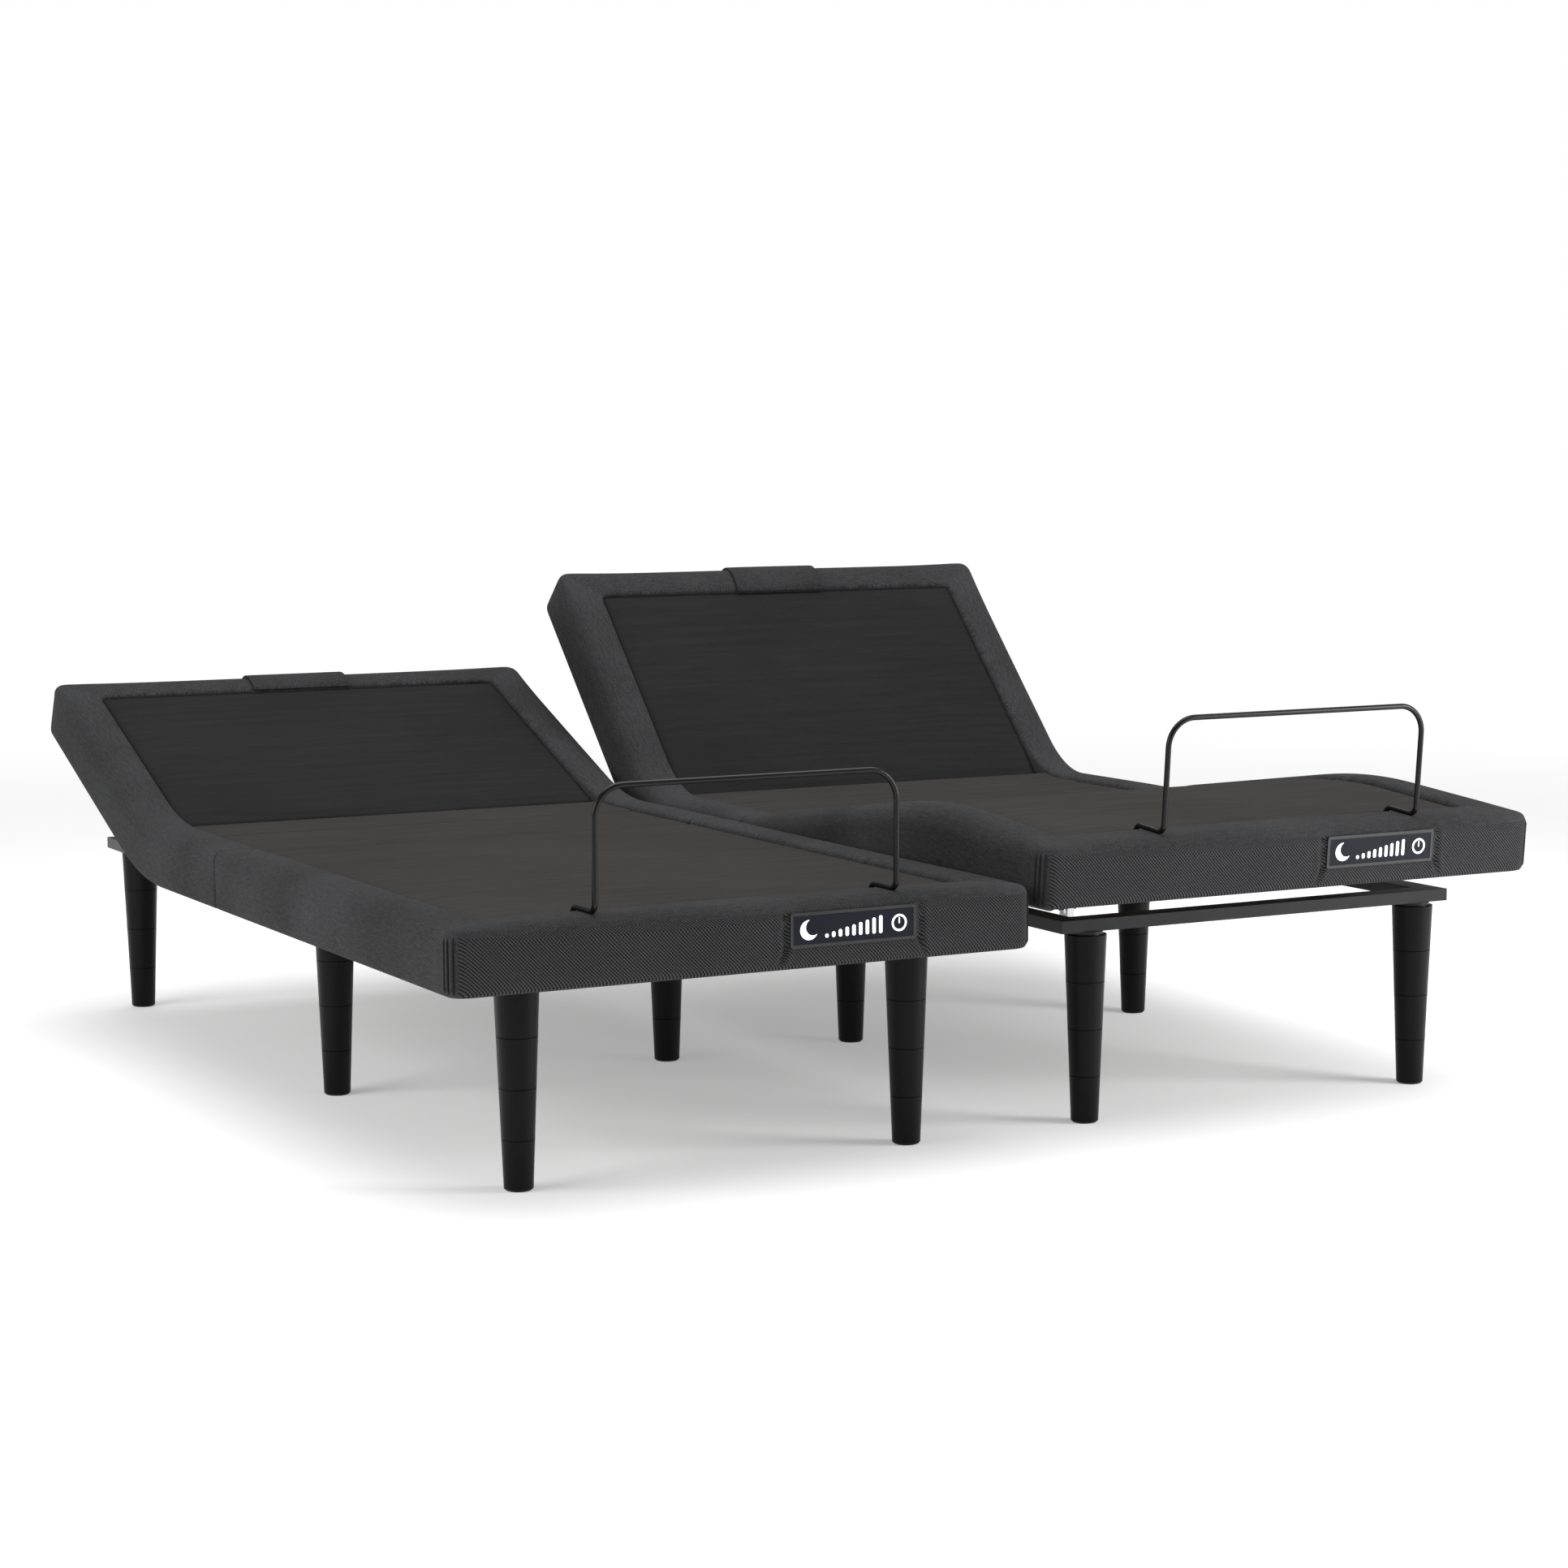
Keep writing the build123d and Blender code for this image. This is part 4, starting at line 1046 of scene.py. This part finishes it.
# %% [markdown]
# ## Two modules from one set
# Both modules are alike, so each flat piece is copied for each side and folded
# into that side's rest pose. The foot cover and the leg deck cross two hinges,
# and a cover can only bend between two bodies, so each is cut in the middle of
# the thigh, where both halves stay still together.


# %% Cut the long pieces across the thigh
def half_of(piece, name, keep_foot):
    """The part of a long piece on one side of the cut."""
    twin = copy_of(piece, name)
    bpy.ops.object.mode_set(mode="EDIT")
    bpy.ops.mesh.select_all(action="SELECT")
    bpy.ops.mesh.bisect(plane_co=(0, split_y, 0), plane_no=(0, 1, 0),
                        clear_outer=keep_foot, clear_inner=not keep_foot)
    bpy.ops.object.mode_set(mode="OBJECT")
    return twin


calf_cover = half_of(foot_cover, "calf_cover", True)
thigh_cover = half_of(foot_cover, "thigh_cover", False)
calf_deck = half_of(leg_deck, "calf_deck", True)
thigh_deck = half_of(leg_deck, "thigh_deck", False)
print("halves", calf_cover.dimensions, thigh_cover.dimensions)


def bend_across(piece, side, bodies, name, reaches, tilts, way):
    """Bake a piece's transform into its points. Reaches and tilts are not used."""
    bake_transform(piece)


# %% Place every soft piece on both modules
STRIP_REACH = 0.030


def side_piece(piece, side, label, head_reach=HEAD_REACH):
    """A side's own copy of a flat piece, laid in place."""
    twin = lay(copy_of(piece, f"{side}_{label}"), side, head_reach)
    return twin


for side in SIDES:
    thigh_tilt, head_tilt = rest_angle(side, "thigh_hinge"), rest_angle(side, "head_hinge")
    calf_tilt = thigh_tilt - rest_angle(side, "knee_hinge")
    base, head = "base", f"{side}_head"
    thigh, calf = f"{side}_thigh", f"{side}_calf"

    at_head = ((base, head), "head_hinge", (HEAD_REACH, HEAD_REACH), (0, head_tilt), 1)
    at_thigh = ((base, thigh), "thigh_hinge", (seam_y - thigh_y, THIGH_LENGTH - seam_y + thigh_y),
                (0, thigh_tilt), -1)
    at_knee = ((thigh, calf), "knee_hinge", (KNEE_REACH, KNEE_REACH), (thigh_tilt, calf_tilt), -1)
    bending = [
        (head_cover, "border_cloth", at_head, ("seat_border", "head_border")),
        (thigh_cover, "border_cloth", at_thigh, ("thigh_border",)),
        (calf_cover, "mesh_cloth", at_knee, ("calf_border",)),
        (thigh_deck, "deck_cloth", at_thigh, ("thigh_pad",)),
        (calf_deck, "deck_cloth", at_knee, ("calf_pad",)),
    ]
    for piece, slot_name, hinge_data, old in bending:
        twin = side_piece(piece, side, piece.name)
        bend_across(twin, side, *hinge_data)
        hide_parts(*(f"{side}_{name}" for name in old))
    strip = side_piece(hinge_cloth, side, "hinge_cloth", STRIP_REACH)
    bend_across(strip, side, (base, head), "head_hinge", (STRIP_REACH, STRIP_REACH), (0, head_tilt), 1)
    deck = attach(side_piece(seat_deck, side, "seat_deck"), base)
    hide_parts(f"{side}_seat_pad")
    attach(side_piece(hinge_roll, side, "hinge_roll"), base)
    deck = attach(side_piece(head_deck, side, "head_deck", RIGID), head)
    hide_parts(f"{side}_head_pad")
    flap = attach(side_piece(head_flap, side, "head_flap_pad"), head)
    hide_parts(f"{side}_head_flap")
    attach(side_piece(corner_welts, side, "corner_welts"), calf)
    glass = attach(side_piece(lens, side, "plate_lens"), calf)
    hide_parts(f"{side}_light_lens")
    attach(side_piece(signs, side, "plate_signs"), calf)
    print(side, "module dressed")

for flat in (foot_cover, calf_cover, thigh_cover, head_cover, leg_deck, calf_deck, thigh_deck, seat_deck,
             hinge_roll, head_deck, hinge_cloth, head_flap, corner_welts, lens, signs):
    bpy.data.objects.remove(flat)

# %% [markdown]
# ## Finishes on the CAD pieces
# The steel, plastic and board pieces keep their own shapes. Each gets the
# finish that its name calls for.

# %% Dress the CAD nodes
finish_of = {
    "legs": leg_black, "leg_studs": frame_black, "hinge_bolts": zinc_steel, "joining_plates": frame_black,
    "base_frame": frame_black, "head_frame": frame_black, "thigh_frame": frame_black,
    "calf_frame": frame_black, "head_lift": frame_black, "leg_lift": frame_black,
    "calf_links": frame_black, "seat_board": ply_board, "head_board": ply_board,
    "thigh_board": ply_board, "calf_board": ply_board, "head_motor": motor_grey,
    "leg_motor": motor_grey, "control_box": motor_grey, "head_motor_rod": zinc_steel,
    "leg_motor_rod": zinc_steel, "retainer_bar": bar_black, "light_case": case_black,
}
dressed = 0
for name, node in frame["nodes"].items():
    short = name.split("_", 1)[1] if name.startswith(SIDES) else name
    if short in finish_of:
        dress(node, finish_of[short])
        dressed += 1
print("CAD nodes dressed", dressed)

# %% [markdown]
# ## Floor and light
# A pale floor runs out into a white room, and further away it gives off the
# white itself, so that no horizon shows. A wide soft light hangs above, one
# stands close to the right foot corner, and a weaker one is at the left.

# %% Floor
FLOOR_SIZE = 200
FADE_START, FADE_END = 1.6, 6.5
NEAR_GLOW, FAR_GLOW = 0.32, 1.0
bpy.ops.object.select_all(action="DESELECT")
bpy.ops.mesh.primitive_plane_add(size=FLOOR_SIZE, location=(0, 0, 0))
floor = bpy.context.object
floor.name = "floor"
floor_paint, tree, shader, spot = start_finish("pale floor", Roughness=0.9, Specular_IOR_Level=0.1,
                                               Emission_Color=(1, 1, 1, 1))
far_off = tree.nodes.new("ShaderNodeVectorMath")
far_off.operation = "LENGTH"
tree.links.new(spot, far_off.inputs[0])
fade = tree.nodes.new("ShaderNodeMapRange")
fade.interpolation_type = "SMOOTHSTEP"
fade.inputs["From Min"].default_value = FADE_START
fade.inputs["From Max"].default_value = FADE_END
tree.links.new(far_off.outputs["Value"], fade.inputs["Value"])
bare = math_node(tree, "MULTIPLY_ADD", noise(tree, spot, 1.5), 0.03, 0.88)
pale = math_node(tree, "MULTIPLY", bare, math_node(tree, "SUBTRACT", 1.0, fade.outputs[0]))
tree.links.new(pale, shader.inputs["Base Color"])
glowing = math_node(tree, "MULTIPLY_ADD", fade.outputs[0], FAR_GLOW - NEAR_GLOW, NEAR_GLOW)
tree.links.new(glowing, shader.inputs["Emission Strength"])
dress(floor, floor_paint)


# %% Lights
def soft_light(name, place, aim, wide, tall, power):
    bpy.ops.object.light_add(type="AREA", location=place)
    light = bpy.context.object
    light.name = name
    light.data.shape = "RECTANGLE"
    light.data.size, light.data.size_y = wide, tall
    light.data.energy = power
    towards = Vector(aim) - Vector(place)
    light.rotation_euler = towards.to_track_quat("-Z", "Y").to_euler()
    return light


soft_light("top light", (0.3, 0.4, 4.2), (0, 0, 0.3), 5.0, 5.0, 190)
soft_light("right light", (2.3, -2.5, 1.1), (0.7, -1.0, 0.35), 1.2, 1.6, 62)
soft_light("left light", (-4.2, -0.4, 1.9), (-0.8, 0, 0.4), 3.0, 2.0, 76)

world = bpy.data.worlds.new("white room")
bpy.context.scene.world = world
world.use_nodes = True
tree = world.node_tree
room = tree.nodes["Background"]
room.inputs["Color"].default_value = (1, 1, 1, 1)
room.inputs["Strength"].default_value = 0.22
seen = tree.nodes.new("ShaderNodeBackground")
seen.inputs["Color"].default_value = (1, 1, 1, 1)
seen.inputs["Strength"].default_value = 1.0
mix = tree.nodes.new("ShaderNodeMixShader")
ray = tree.nodes.new("ShaderNodeLightPath")
tree.links.new(ray.outputs["Is Camera Ray"], mix.inputs[0])
tree.links.new(room.outputs[0], mix.inputs[1])
tree.links.new(seen.outputs[0], mix.inputs[2])
tree.links.new(mix.outputs[0], tree.nodes["World Output"].inputs["Surface"])
bpy.context.scene.view_settings.view_transform = "Standard"
print("lights placed")
